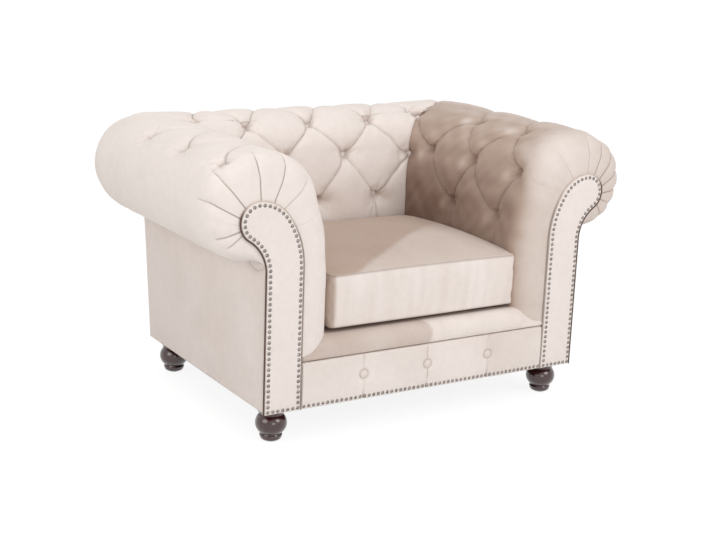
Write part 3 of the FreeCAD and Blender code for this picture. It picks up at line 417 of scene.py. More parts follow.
def section(spans, centre, radius, last_angle):
    """A pad's section from its foot up the face, over the roll and down to its outer seam."""
    drawn = [arc_points(*span, count) for span, count in zip(spans, PROFILE_ROWS)]
    drawn.append(round_points(centre, radius, 90, 0, PROFILE_ROWS[5]))
    drawn.append(round_points(centre, radius, 0, -90, PROFILE_ROWS[6]))
    drawn.append(round_points(centre, radius, -90, last_angle, PROFILE_ROWS[7]))
    angle = math.radians(last_angle)
    drawn.append([[centre[0] + radius * math.cos(angle), centre[1] + radius * math.sin(angle)]])
    return eased(np.vstack(drawn), 12)


arm_section = section(
    [
        ((0.300, PAD_BASE), (0.300, 0.310), (0.300, 0.400)),
        ((0.300, 0.400), (0.300, 0.437), (0.300, 0.474)),
        ((0.300, 0.474), (0.302, 0.549), (0.319, 0.619)),
        ((0.319, 0.619), (0.345, 0.681), (0.395, 0.720)),
        ((0.395, 0.720), (0.450, 0.737), (0.509, 0.739)),
    ],
    ARM_ROLL,
    ARM_RADIUS,
    -102.5,
)
back_section = section(
    [
        ((0.596, PAD_BASE), (0.595, 0.310), (0.5935, 0.400)),
        ((0.5935, 0.400), (0.5927, 0.432), (0.592, 0.464)),
        ((0.592, 0.464), (0.597, 0.544), (0.613, 0.614)),
        ((0.613, 0.614), (0.636, 0.677), (0.676, 0.716)),
        ((0.676, 0.716), (0.708, 0.729), (0.742, 0.732)),
    ],
    BACK_ROLL,
    BACK_RADIUS,
    -82.0,
)


def scroll_edge(inset, steps, foot=BODY_FOOT):
    """The facing's edge from its outer foot over the scroll to its inner foot, drawn in by an inset."""
    place = complex(SIDE_X - inset, foot)
    aim = 1j
    points = []
    # each bend's radius and its turn in degrees; only the first, under the scroll, turns outward
    bends = [(0.100 + inset, -58), (0.050 - inset, 58), (0.050 - inset, 90), (0.0971 - inset, 27.5)]
    bends += [(0.0971 - inset, 27.5), (0.2263 - inset, 35)]
    for count, (radius, turn) in zip(steps, [(0, 0)] + bends + [(0, 0)]):
        shares = np.arange(count) / count
        if turn:
            sweep = math.radians(turn)
            centre = place + aim * 1j * math.copysign(radius, turn)
            spots = centre + (place - centre) * np.exp(1j * sweep * shares)
            place = centre + (place - centre) * np.exp(1j * sweep)
            aim = aim * np.exp(1j * sweep)
        else:
            end = complex(place.real, STRAIGHT_TOP if aim.imag > 0 else foot)
            spots = place + (end - place) * shares
            place = end
        points.append(np.stack([spots.real, spots.imag], 1))
    points.append([[place.real, place.imag]])
    return np.vstack(points)


# the scroll's spans run the other way than the pad's rows
last_rows = PROFILE_ROWS[0] + PROFILE_ROWS[1]
scroll_steps = (4, PROFILE_ROWS[7], PROFILE_ROWS[6], PROFILE_ROWS[5], *PROFILE_ROWS[4:1:-1], last_rows)
scroll_rows = scroll_edge(0.0, scroll_steps, PAD_BASE)[4:][::-1]


def run_of(points):
    """Length along a row of points, from its first point."""
    return np.concatenate([[0], np.cumsum(np.linalg.norm(np.diff(points, axis=0), axis=1))])


arm_run = run_of(arm_section)
back_run = run_of(back_section)
reach_x = np.maximum(arm_section[:, 0] - CORNER_AXIS[0], 0)
reach_y = np.maximum(back_section[:, 0] - CORNER_AXIS[1], 0)
reach = (reach_x + reach_y) / 2
seam = np.stack(
    [
        np.minimum(arm_section[:, 0], CORNER_AXIS[0]) + reach * math.sqrt(0.5),
        np.minimum(back_section[:, 0], CORNER_AXIS[1]) + reach * math.sqrt(0.5),
        (arm_section[:, 1] + back_section[:, 1]) / 2,
    ],
    1,
)


def smooth_share(value, low, high):
    """From 0 at low to 1 at high, easing in and out."""
    share = np.clip((value - low) / (high - low), 0, 1)
    return share * share * (3 - 2 * share)


TUCKED_IN = np.array([0.0045, 0.00975, 0.015])
SEAM_BLEND = 0.15
SHORTEST_TURN = 1e-4


def round_corner(profile, bend, axis, straight, out, joined):
    """A pad that runs straight and then an eighth of a turn round the corner's axis to its seam."""
    turned = np.maximum(out - straight[:, None], 0) / np.maximum(bend[:, None], SHORTEST_TURN)
    rounded = bend[:, None] > SHORTEST_TURN
    across = np.where(rounded, axis + bend[:, None] * np.cos(turned), profile[:, :1])
    run = np.where(rounded, np.minimum(out, straight[:, None]) + bend[:, None] * np.sin(turned), out)
    end_across = np.where(bend > 0, axis + bend * math.sqrt(0.5), profile[:, 0])
    end_run = straight + bend * math.sqrt(0.5)
    ends = straight + bend * math.pi / 4
    drift = smooth_share(out, (ends - SEAM_BLEND)[:, None], ends[:, None])
    across = across + drift * (joined[0] - end_across)[:, None]
    run = run + drift * (joined[1] - end_run)[:, None]
    return across, run, profile[:, 1:] + drift * (seam[:, 2] - profile[:, 1])[:, None]


def arm_surface():
    """The right arm's smooth surface: places in rows and columns, and the length along each row."""
    straight = np.where(reach_x > 0, CORNER_AXIS[1], np.minimum(back_section[:, 0], CORNER_AXIS[1]))
    ends = straight + reach_x * math.pi / 4
    shares = np.concatenate([np.linspace(0, 0.22, 52)[:-1], np.linspace(0.22, 1, 168)])
    along = NOSE_START + (ends[:, None] - NOSE_START) * shares[None, :]
    along = np.hstack([along, ends[:, None] + TUCKED_IN[None, :]])
    joined = (seam[:, 0], seam[:, 1])
    x, y, z = round_corner(arm_section, reach_x, CORNER_AXIS[0], straight, along, joined)
    # the column beside the seat swells a little before it turns in to the facing
    swell = np.exp(-(((along - 0.050) / 0.040) ** 2)) * (1 - smooth_share(z, 0.42, 0.58))
    low = len(arm_section) // 3
    swell[low:] = 0
    x = x - COLUMN_SWELL * swell
    # the nose: a full quarter round from the facing's edge, tucked back at its foot
    part = np.clip((along - NOSE_START) / (NOSE_LENGTH - NOSE_START), 0, 1)
    share = (1 - (1 - part) ** NOSE_FULLNESS) ** (1 / NOSE_FULLNESS)
    tuck = np.clip((NOSE_TUCK_TOP - arm_section[:, 1]) / NOSE_TUCK_HEIGHT, 0, 1)
    tuck[low:] = 0
    slow = np.sqrt(1 - tuck**2)[:, None]
    share = share * (slow + (1 - slow) * smooth_share(along, 0.03, NOSE_LENGTH))
    x = scroll_rows[:, :1] + (x - scroll_rows[:, :1]) * share
    z = scroll_rows[:, 1:] + (z - scroll_rows[:, 1:]) * share
    return np.stack([x, y, z], 2), along, ends


def back_surface():
    """The back's smooth surface from one corner seam to the other, and the place along each row."""
    straight = np.where(reach_y > 0, CORNER_AXIS[0], np.minimum(arm_section[:, 0], CORNER_AXIS[0]))
    ends = straight + reach_y * math.pi / 4
    half = np.hstack([ends[:, None] * np.linspace(0, 1, 142), ends[:, None] + TUCKED_IN[None, :]])
    out = np.hstack([half[:, :0:-1], half])
    side = np.concatenate([-np.ones(half.shape[1] - 1), [0.0], np.ones(half.shape[1] - 1)])
    joined = (seam[:, 1], seam[:, 0])
    y, x, z = round_corner(back_section, reach_y, CORNER_AXIS[1], straight, out, joined)
    return np.stack([x * side, y, z], 2), out * side, ends


def unit(vectors):
    return vectors / np.maximum(np.linalg.norm(vectors, axis=2, keepdims=True), 1e-12)


# a row of points that lies on the face of every pad
FACE_ROW = 30


def outward_of(surface, towards):
    """Unit directions out of a surface; towards is the way that its face looks."""
    direction = unit(np.cross(np.gradient(surface, axis=0), np.gradient(surface, axis=1)))
    middle = direction[FACE_ROW, surface.shape[1] // 2]
    return direction if np.dot(middle, towards) > 0 else -direction


def line_distance(rise, run, line):
    """Distance to a line of (rise, run) places, and how far along it the nearest place is."""
    nearest = np.full(rise.shape, 9.0)
    share = np.zeros(rise.shape)
    lengths = run_of(line)
    for start, end, base, size in zip(line[:-1], line[1:], lengths[:-1], np.diff(lengths)):
        step = end - start
        part = ((rise - start[0]) * step[0] + (run - start[1]) * step[1]) / (size * size)
        part = np.clip(part, 0, 1)
        gap = np.hypot(rise - start[0] - part * step[0], run - start[1] - part * step[1])
        closer = gap < nearest
        nearest = np.where(closer, gap, nearest)
        share = np.where(closer, (base + part * size) / lengths[-1], share)
    return nearest, share


def crease_form(gap, width, shoulder):
    """The section of a fold: sharp at its bottom, with a full rounded shoulder."""
    lip = np.exp(-gap / width)
    pillow = 1 - np.sqrt(1 - (1 - np.clip(gap / shoulder, 0, 1)) ** 2)
    return 0.35 * lip + 0.65 * pillow


def bowed(start, end, bow, count=7):
    """A line between two places that bows to one side."""
    start, end = np.array(start, float), np.array(end, float)
    shares = np.linspace(0, 1, count)[:, None]
    across = np.array([-(end - start)[1], (end - start)[0]])
    return start + (end - start) * shares + across * bow * np.sin(math.pi * shares)


def waves(rise, run, seed, size=0.09):
    """Slow unevenness of the stuffing, from -1 to 1."""
    random = np.random.default_rng(seed)
    total = np.zeros(rise.shape)
    for _ in range(7):
        angle = random.uniform(0, math.tau)
        length = size * random.uniform(0.7, 1.8)
        phase = random.uniform(0, math.tau)
        total += np.sin((rise * math.cos(angle) + run * math.sin(angle)) * math.tau / length + phase)
    return total / 7


FOLD_MIDDLE = 0.0135
FOLD_END = 0.022
FOLD_WIDTH = 0.004
FOLD_SHOULDER = (0.060, 0.074)
FOLD_LINE = 0.0028
PIT_DEPTH = 0.013
PIT_RADIUS = 0.015
PIT_SLOPE = 0.014
PIT_REACH = 0.036
PIT_SHADE = 0.014
RISE_WANDER = 0.0022
RUN_WANDER = 0.0030
CRUMPLE_DEPTH = 0.0022
GATHERS = 7
GATHER_LENGTH = (0.024, 0.056)
GATHER_DEPTH = (0.0028, 0.0048)
TOP_ROWS = 0.45


def tufting(rise, run, buttons, folds, seed):
    """How far the cover is drawn in by its buttons and folds, and the painted shade along each fold line, in each pit
    and along each gather.
    """
    total = np.zeros(rise.shape)
    dark = np.zeros(rise.shape)
    random = np.random.default_rng(seed)
    # hand-laid folds wander a little between their buttons
    rise = rise + RISE_WANDER * waves(rise, run, seed + 30, 0.07)
    run = run + RUN_WANDER * waves(rise, run, seed + 31, 0.06)
    for line, middle_depth, end_depth in folds:
        gap, share = line_distance(rise, run, line)
        depth = middle_depth * random.uniform(0.85, 1.15)
        depth = depth + (end_depth - middle_depth) * np.abs(2 * share - 1) ** 3
        total += (depth * crease_form(gap, FOLD_WIDTH, random.uniform(*FOLD_SHOULDER))) ** 3
        # painted shade along the fold's line, stronger where the fold is deeper
        line_shade = np.exp(-((gap / FOLD_LINE) ** 2)) * np.clip(depth / 0.016, 0, 1) ** 1.5
        dark = np.maximum(dark, line_shade)
    for button in buttons:
        gap = np.hypot(rise - button[0], run - button[1])
        pit = PIT_DEPTH * np.exp(-((gap / PIT_RADIUS) ** 3))
        total += (pit + PIT_SLOPE * np.exp(-((gap / PIT_REACH) ** 1.6))) ** 3
        # painted shade in the button's pit
        dark = np.maximum(dark, np.exp(-((gap / PIT_SHADE) ** 4)))
    total = np.cbrt(total)
    gathers = np.zeros(rise.shape)
    crumple = waves(rise, run, seed + 32, 0.026)
    fan = list(np.linspace(-1.05, 1.05, GATHERS)) + [2.3, -2.4]
    for button in buttons:
        gap = np.hypot(rise - button[0], run - button[1])
        total = total + CRUMPLE_DEPTH * crumple * np.exp(-(((gap - 0.030) / 0.022) ** 2))
        for turn in fan:
            angle = turn + random.normal(0, 0.10)
            length = random.uniform(*GATHER_LENGTH) * (1 if abs(turn) < 2 else 0.7)
            length = length * (1.3 if button[0] > TOP_ROWS else 1.0)
            aim = np.array([math.cos(angle), math.sin(angle)])
            start = np.array(button) + aim * 0.010
            line = bowed(start, start + aim * length, random.uniform(-0.12, 0.12), 4)
            gap, share = line_distance(rise, run, line)
            fade = (1 - share) ** 0.9 * np.exp(-((gap / (0.0026 + 0.0030 * share)) ** 1.5))
            gathers = np.maximum(gathers, random.uniform(*GATHER_DEPTH) * fade)
            # painted shade along each gather
            dark = np.maximum(dark, 0.8 * (1 - share) * np.exp(-((gap / 0.0022) ** 2)))
    return total + gathers, dark


def quads(index):
    """Quads between the rows and columns of a grid of point numbers."""
    corners = [index[:-1, :-1], index[1:, :-1], index[1:, 1:], index[:-1, 1:]]
    return np.stack(corners, 2).reshape(-1, 4)


def closed_grid(rows, columns):
    """The faces of rows that run round a piece, with both of its ends closed."""
    index = np.arange(rows * columns).reshape(rows, columns)
    faces = [tuple(face) for face in quads(np.vstack([index, index[:1]]))]
    faces.append(tuple(range(0, rows * columns, columns)))
    faces.append(tuple(range(columns - 1, rows * columns, columns)))
    return faces


def mesh_piece(name, points, faces, material, marks=None):
    """A piece from points in the chair's frame, with outward faces and smooth shading."""
    mesh = bpy.data.meshes.new(name)
    mesh.from_pydata(np.asarray(points, float).tolist(), [], [list(face) for face in faces])
    mesh.update()
    for label in ("nap", "crease"):
        values = (marks or {}).get(label)
        layer = mesh.attributes.new(label, "FLOAT", "POINT")
        if values is not None:
            layer.data.foreach_set("value", np.asarray(values, np.float32).ravel())
    shape = bmesh.new()
    shape.from_mesh(mesh)
    bmesh.ops.recalc_face_normals(shape, faces=shape.faces)
    shape.to_mesh(mesh)
    shape.free()
    mesh.polygons.foreach_set("use_smooth", np.ones(len(mesh.polygons), bool))
    mesh.materials.append(material)
    piece = bpy.data.objects.new(name, mesh)
    bpy.context.scene.collection.objects.link(piece)
    return piece


def to_frame(points):
    """Places measured from the facings' front plane, moved to the chair's frame."""
    moved = np.array(points, float)
    moved[..., 1] += FRONT
    return moved


def pad_piece(name, cover_rows, inner_rows, mirror, marks):
    """A pad: its cover closed behind by a few inner rows and at both ends."""
    ring = np.vstack([cover_rows, *inner_rows]) * np.array([mirror, 1, 1])
    rows, columns = ring.shape[:2]
    full = {}
    for label, values in marks.items():
        full[label] = np.zeros((rows, columns))
        full[label][: len(values)] = values
    return mesh_piece(name, to_frame(ring).reshape(-1, 3), closed_grid(rows, columns), cover, full)


def drawn_in(base, outward, depth, lift):
    """The surface drawn in by a depth, its folds tucked up under the stuffing above them."""
    upward = unit(np.gradient(base, axis=0))
    return base - outward * depth[..., None] + upward * (lift * depth)[..., None]


def tuft_rows(levels, places, corners):
    """Rows of buttons up a pad, and the same rows with the corner seam's own buttons."""
    tufts = [[(level, place) for place in row] for level, row in zip(levels, places)]
    return tufts, [tufts[0]] + [row + corner for row, corner in zip(tufts[1:], corners)]


def folds_between(rows, farthest, bow):
    """Folds from each button to its neighbours in the row above."""
    return [
        (bowed(lower, upper, bow), FOLD_MIDDLE, FOLD_END)
        for lower_row, upper_row in zip(rows[:-1], rows[1:])
        for lower in lower_row
        for upper in upper_row
        if abs(lower[1] - upper[1]) < farthest
    ]


SEAM_WIDTH = 0.003
SEAM_SHOULDER = 0.028
SEAM_DEPTH = 0.010
STUFFING_UNEVEN = 0.0018


def seamed(depth, rise, along, ends, seed):
    """A cover turned in at the corner seam over uneven stuffing, and each place's gap to that seam."""
    gap = np.maximum(ends[:, None] - np.abs(along), 0)
    past = np.maximum(np.abs(along) - ends[:, None], 0)
    turned_in = smooth_share(reach, 0.0, 0.03)[:, None]
    seam = SEAM_DEPTH * crease_form(gap, SEAM_WIDTH, SEAM_SHOULDER)
    depth = depth + turned_in * (seam + 0.8 * past)
    return depth - STUFFING_UNEVEN * waves(rise, along, seed), gap


arm_base, arm_along, arm_ends = arm_surface()
arm_out = outward_of(arm_base, (-1, 0, 0))
rise = np.repeat(arm_run[:, None], arm_along.shape[1], 1)
arm_corners = [[(level, float(np.interp(level, arm_run, arm_ends)))] for level in (0.372, 0.520, 0.735)]
arm_places = ((0.155, 0.362), (0.095, 0.302, 0.509), (0.190, 0.397), (0.072, 0.279, 0.486))
arm_tufts, arm_rows = tuft_rows((0.270, 0.402, 0.548, 0.715), arm_places, arm_corners)
arm_folds = folds_between(arm_rows, 0.17, 0.05)
for button in arm_tufts[0]:
    arm_folds.append((bowed(button, (0.03, button[1] + 0.004), 0.02), 0.007, 0.012))
for button in arm_tufts[-1]:
    arm_folds.append((bowed(button, (0.830, button[1] + 0.04), -0.10), 0.0012, 0.003))
arm_buttons = [place for row in arm_tufts for place in row]
column_run = np.cumsum(np.linalg.norm(np.diff(arm_base, axis=0, prepend=arm_base[:1]), axis=2), axis=0)
first_roll_row = sum(PROFILE_ROWS[:5])


def scroll_pleats(pleats):
    """Pleats that gather the cover into the scroll, each with its angle round the roll in degrees."""
    depth = np.zeros(rise.shape)
    dark = np.zeros(rise.shape)
    crown_rows = PROFILE_ROWS[4] + PROFILE_ROWS[3]
    for degrees, length, deep, curl in pleats:
        if degrees > 90:
            row = first_roll_row - (degrees - 90) / 55 * crown_rows
        elif degrees > 0:
            row = first_roll_row + (90 - degrees) / 90 * PROFILE_ROWS[5]
        else:
            row = first_roll_row + PROFILE_ROWS[5] - degrees / 90 * PROFILE_ROWS[6]
        travel = np.clip((arm_along[0] - NOSE_START) / length, 0, 1.5)
        rows = row + curl * travel**2
        index = np.arange(len(rise))
        middle = np.array([np.interp(rows[j], index, column_run[:, j]) for j in range(len(rows))])
        gap = column_run - middle[None, :]
        fade = np.clip(1 - (arm_along - NOSE_START) / length, 0, 1) ** 0.7
        form = 0.5 * np.exp(-np.abs(gap) / 0.0026) + 0.5 * np.exp(-((gap / 0.013) ** 2))
        depth = np.maximum(depth, deep * fade * form)
        # painted shade along the pleat's line
        line = np.exp(-((gap / 0.0017) ** 2)) * fade * min(1.0, deep / 0.007)
        dark = np.maximum(dark, line)
    return depth, dark


def arm_cover(side, pleats, seed):
    """One arm's cover as places, with its painted pile shade and its painted shade in creases and seams."""
    pits = arm_buttons + arm_corners[0] + arm_corners[1]
    depth, dark = tufting(rise, arm_along, pits, arm_folds, seed)
    pleat_depth, pleat_dark = scroll_pleats(pleats)
    depth, gap = seamed(depth + pleat_depth, rise, arm_along, arm_ends, seed + 7)
    depth = depth * np.clip((arm_along - NOSE_START) / 0.010, 0.1, 1)
    lift = 0.40 * (1 - smooth_share(rise, 0.50, 0.66)) * smooth_share(arm_along, 0.03, 0.09)
    surface = drawn_in(arm_base, arm_out, depth, lift)
    # painted shade along the folds, softer on the right arm, along the corner seam and where the cover is drawn in
    # deep
    dark = np.maximum(dark * (0.32 if side > 0 else 0.6), 0.6 * np.exp(-gap / 0.004))
    crease = np.maximum(np.maximum(0.35 * np.clip((depth - 0.008) / 0.02, 0, 1), dark), pleat_dark)
    face = 1 - smooth_share(rise, 0.50, 0.80)
    nap = np.zeros(rise.shape)
    # right arm only: painted shade, deeper low down and to the rear where the cushion and back shade it, taupe over
    # the roll's outside
    if side > 0:
        height = arm_base[..., 2]
        low = 1 - smooth_share(height, 0.47, 0.66)
        rear = smooth_share(arm_along, 0.10, 0.50)
        shade = 0.30 * (1 - smooth_share(height, 0.55, 0.72)) + 0.62 * low * (0.35 + 0.65 * rear)
        uneven = 0.20 * waves(rise, arm_along, 17, 0.07) + 0.12 * waves(rise, arm_along, 18, 0.03)
        # painted sheen highlight on the stuffing beside each button
        for button in arm_buttons:
            above, beside = rise - button[0], arm_along - button[1]
            crushing_and_sheen = np.hypot((above + 0.012) / 0.020, (beside - 0.040) / 0.018)
            uneven = uneven - 0.42 * np.exp(-(crushing_and_sheen**2))
        # painted highlight: lighter towards the facing and over the front of the crown
        past_facing = 0.30 + 0.70 * smooth_share(arm_along, 0.0, 0.085)
        crown_front = smooth_share(height, 0.58, 0.70) * (1 - smooth_share(arm_along, 0.05, 0.14))
        past_facing = past_facing * (1 - 0.45 * crown_front)
        nap = face * past_facing * (1 + shade + uneven) + 0.42 * (1 - face)
    return surface, nap, crease


left_pleats = (
    (44, 0.088, 0.0100, -7),
    (14, 0.080, 0.0090, 5),
    (92, 0.086, 0.0080, -4),
    (112, 0.080, 0.0070, 8),
    (131, 0.060, 0.0045, 10),
    (153, 0.050, 0.0030, 5),
    (-6, 0.075, 0.0028, 2),
    (-32, 0.032, 0.0070, 2),
    (-50, 0.026, 0.0060, -2),
)
right_pleats = (
    (62, 0.060, 0.0060, -3),
    (36, 0.075, 0.0085, -2),
    (12, 0.080, 0.0090, 2),
    (-12, 0.075, 0.0085, 2),
    (-36, 0.060, 0.0075, 3),
    (-60, 0.045, 0.0060, 2),
    (90, 0.060, 0.0040, 0),
    (118, 0.050, 0.0030, 4),
    (146, 0.040, 0.0025, 4),
)
arm_covers = {1: arm_cover(1, right_pleats, 4), -1: arm_cover(-1, left_pleats, 5)}

BACK_PITCH = 0.200
back_base, back_along, back_ends = back_surface()
back_out = outward_of(back_base, (0, -1, 0))
back_rise = np.repeat(back_run[:, None], back_along.shape[1], 1)
back_corners = []
for level in (0.365, 0.497, 0.675):
    place = float(np.interp(level, back_run, back_ends))
    back_corners.append([(level, place), (level, -place)])
back_places = (
    (-BACK_PITCH, 0.0, BACK_PITCH),
    (-BACK_PITCH / 2, BACK_PITCH / 2),
    (-BACK_PITCH, 0.0, BACK_PITCH),
    [BACK_PITCH * (index - 1.5) for index in range(4)],
)
back_tufts, back_rows = tuft_rows((0.247, 0.378, 0.486, 0.668), back_places, back_corners)
back_folds = folds_between(back_rows, 0.16, 0.0)
for button in back_tufts[0]:
    for drift, middle_depth in ((-0.010, 0.006), (0.050, 0.010)):
        back_folds.append((bowed(button, (0.10, button[1] + drift), 0.08), middle_depth, 0.018))
for button in back_tufts[-1]:
    back_folds.append((bowed(button, (0.860, button[1]), 0.03), 0.0035, 0.007))
back_buttons = [place for row in back_tufts for place in row]
corner_places = back_corners[0] + back_corners[1]
back_depth, back_dark = tufting(back_rise, back_along, back_buttons + corner_places, back_folds, 9)
back_depth, seam_gap = seamed(back_depth, back_rise, back_along, back_ends, 12)
back_lift = 0.40 * (1 - smooth_share(back_rise, 0.56, 0.66))
back_cover = drawn_in(back_base, back_out, back_depth, back_lift)
# painted shade along the folds, in the pits, along the corner seams and where the cover is drawn in deep
back_dark = np.maximum(0.52 * back_dark, 0.5 * np.exp(-seam_gap / 0.004))
back_painted_shade = np.maximum(0.35 * np.clip((back_depth - 0.008) / 0.02, 0, 1), back_dark)
back_pile_and_painted_shade = np.zeros(back_rise.shape)
# painted shade in a fan beside each button, strongest along the lowest row
for button in back_buttons + corner_places:
    above, beside = back_rise - button[0], back_along - button[1]
    turned, aside = (0.85, 1.15) if button in back_tufts[0] else (0.42, 0.45)
    lean = np.arctan2(beside, above) - aside
    fan = np.exp(-((np.hypot(above, beside) / 0.048) ** 2)) * np.exp(-((lean / 0.55) ** 2))
    back_pile_and_painted_shade = np.maximum(back_pile_and_painted_shade, turned * fan)

# at each corner the two covers are sewn edge to edge, and both edges are turned in
SEAM_PULL = 0.026
seam_columns = {1: back_cover.shape[1] - 4, -1: 3}
for side in (1, -1):
    mirror = np.array([side, 1, 1])
    arm_surface_points = arm_covers[side][0]
    back_column = seam_columns[side]
    arm_edge = arm_surface_points[:, -4] * mirror
    back_edge = back_cover[:, back_column].copy()
    joined = (arm_edge + back_edge) / 2
    arm_pull = 1 - smooth_share(arm_ends[:, None] - arm_along, 0.0, SEAM_PULL)
    arm_surface_points += arm_pull[..., None] * ((joined - arm_edge) * mirror)[:, None, :]
    own_side = np.where(back_along * side > 0, 1.0, 0.0)
    back_pull = own_side * (1 - smooth_share(back_ends[:, None] - np.abs(back_along), 0.0, SEAM_PULL))
    back_cover += back_pull[..., None] * (joined - back_edge)[:, None, :]

# behind its cover each pad is closed against the webbing, from its foot up to the slat
PAD_FOOT = 0.224
PAD_SLAT = 0.478
ARM_OUTER = 0.474
ARM_WEBBING = 0.361
ARM_PAD_LEAST = 0.012
BACK_OUTER = 0.740
BACK_WEBBING = 0.672

for side, name in ((1, "right"), (-1, "left")):
    surface, nap, crease = arm_covers[side]
    inner = []
    webbing_x = np.maximum(ARM_WEBBING, surface[PROFILE_ROWS[0], :, 0] + ARM_PAD_LEAST)
    for x, z in ((ARM_OUTER, PAD_SLAT), (webbing_x, PAD_SLAT), (webbing_x, PAD_FOOT)):
        row = surface[:1].copy()
        row[..., 0] = x
        row[..., 2] = z
        inner.append(row)
    pad = pad_piece(f"arm_cover_{name}", surface, inner, side, {"nap": nap, "crease": crease})
    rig.ride(pad, "chair")
    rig.replaces(pad, f"arm_pad_{name}")
    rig.slot(pad, "velour")
    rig.padded(pad, 0.85)

inner_back = []
for y, z in ((BACK_OUTER, PAD_SLAT), (BACK_WEBBING, PAD_SLAT), (BACK_WEBBING, PAD_FOOT)):
    row = back_cover[:1].copy()
    row[..., 1] = y
    row[..., 2] = z
    inner_back.append(row)
back_piece = pad_piece("back_cover", back_cover, inner_back, 1, {"nap": back_pile_and_painted_shade, "crease": back_painted_shade})
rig.ride(back_piece, "chair")
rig.replaces(back_piece, "back_pad")
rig.slot(back_piece, "velour")
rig.padded(back_piece, 0.85)

# Covered buttons: domed steel buttons in the same velour as the pads. Each one is pulled down on
# twine through the stuffing and tied off behind, which leaves it at the bottom of a deep pit.

BUTTON_RADIUS = 0.0110
BUTTON_HEIGHT = 0.008
BUTTON_SINK = 0.001
# each ring of a button's dome: its share of the height, and of the radius
BUTTON_RINGS = ((0.0, 0.80), (0.15, 1.0), (0.45, 0.97), (0.72, 0.82), (0.90, 0.56), (0.985, 0.26))


def stacked_faces(first, rings, size):
    """Faces between closed rings of points one on another, with both ends closed."""
    faces = [tuple(range(first, first + size))]
    for low in range(first, first + (rings - 1) * size, size):
        for step in range(size):
            after = (step + 1) % size
            faces.append((low + step, low + after, low + size + after, low + size + step))
    faces.append(tuple(range(first + (rings - 1) * size, first + rings * size)))
    return faces


def domed_buttons(name, seats, node_name, painted_pile_shades=None):
    """One piece of buttons, each a flat-backed dome at its seat and facing out of it."""
    around = np.linspace(0, math.tau, 28, endpoint=False)
    points, faces = [], []
    for seat, outward in seats:
        outward = Vector(outward).normalized()
        turn = outward.to_track_quat("Z", "Y").to_matrix()
        faces += stacked_faces(len(points), len(BUTTON_RINGS), len(around))
        for rise_share, width in BUTTON_RINGS:
            for angle in around:
                wide = width * BUTTON_RADIUS
                height = rise_share * BUTTON_HEIGHT
                local = Vector((math.cos(angle) * wide, math.sin(angle) * wide, height))
                points.append(Vector(seat) + turn @ local)
    each = len(points) // len(seats)
    # painted shade: every button is darkened a little and takes its pad's painted pile shade
    marks = {"crease": np.full(len(points), 0.25), "nap": np.repeat(painted_pile_shades or [0.0] * len(seats), each)}
    piece = mesh_piece(name, [tuple(point) for point in points], faces, cover, marks)
    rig.ride(piece, "chair")
    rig.replaces(piece, node_name)
    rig.slot(piece, "velour")
    return piece


def seat_on(surface, outward, runs, along, place):
    """A button's seat on a pad's cover at the bottom of its pit, and the way it faces."""
    row = int(np.argmin(np.abs(runs - place[0])))
    column = int(np.argmin(np.abs(along[row] - place[1])))
    spot = surface[row, column] - outward[row, column] * BUTTON_SINK
    return spot, outward[row, column]


for side, name in ((1, "right"), (-1, "left")):
    mirror = np.array([side, 1, 1])
    surface = arm_covers[side][0]
    arm_seats = [seat_on(surface, arm_out, arm_run, arm_along, place) for place in arm_buttons]
    seats = [(to_frame(spot * mirror), outward * mirror) for spot, outward in arm_seats]
    # painted shade: the right arm's buttons take the deep taupe
    shades = [1.15 if side > 0 else 0.0] * len(seats)
    domed_buttons(f"arm_button_row_{name}", seats, f"arm_buttons_{name}", shades)
back_seats = [seat_on(back_cover, back_out, back_run, back_along, place) for place in back_buttons]
for place in corner_places:
    spot, outward = seat_on(back_cover, back_out, back_run, back_along, place)
    inward = np.array([-np.sign(place[1]), 0.0, 0.0])
    back_seats.append((spot, outward + inward))
seats = [(to_frame(spot), outward) for spot, outward in back_seats]
domed_buttons("back_button_rows", seats, "back_buttons")

# Scroll facings: thin padded boards in velour, nailed over the raw edges of the arm covers, with a
# piped cord along their outer edge whose dark brown is painted shade for the gap beside it.

FACING_STEPS = (60, 20, 16, 24, 10, 10, 24, 60)
# each ring of the facing: how far in from its edge, and how far behind the front plane
FACING_RINGS = (
    (0.0, 0.0150),
    (0.0, 0.0060),
    (0.0006, 0.0032),
    (0.0022, 0.0012),
    (0.0050, 0.0002),
    (0.0085, 0.0),
    (0.0140, -0.0005),
    (0.0210, -0.0012),
    (0.0300, -0.0017),
    (0.0400, -0.0019),
)


def facing_mesh(side, name):
    """One side's facing: rings from its rear edge over its rounded rim and in across its face."""
    rings = []
    for inset, depth in FACING_RINGS:
        edge = scroll_edge(inset, FACING_STEPS, BODY_FOOT + inset)
        count = 14
        foot = np.linspace(edge[-1], edge[0], count + 1)[1:-1]
        edge = np.vstack([edge, foot])
        rings.append(np.stack([edge[:, 0] * side, np.full(len(edge), depth), edge[:, 1]], 1))
    size = len(rings[0])
    points = to_frame(np.vstack(rings))
    dents = 0.0004 * waves(points[:, 0], points[:, 2], 21, 0.05)
    points[:, 1] += dents * (points[:, 1] < FRONT + 0.004)
    piece = mesh_piece(f"facing_cover_{name}", points, stacked_faces(0, len(rings), size), cover)
    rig.ride(piece, "chair")
    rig.replaces(piece, f"facing_{name}")
    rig.slot(piece, "velour")
    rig.padded(piece, 0.9)


# painted shade: the cord is dark brown for the gap beside the facing, and cream where that shade fades
values = {"Thread": tint(118, 90, 74), "Gap": tint(78, 56, 46), "Count": 900.0}
settings = {"Roughness": 0.85, "Sheen Weight": 0.2}
painted_gap_shade, tree, shader, outputs = painted("piping", settings, cloth_weave, values)
unshaded_share = node(tree, "ShaderNodeAttribute", attribute_name="nap").outputs["Fac"]
tree.links.new(mix(tree, unshaded_share, outputs["Colour"], tint(222, 208, 198)), shader.inputs["Base Color"])


WELT_RADIUS = 0.0021
WELT_THINNING = 0.0009
WELT_OUTSIDE = 0.0018
WELT_SETBACK = 0.0034


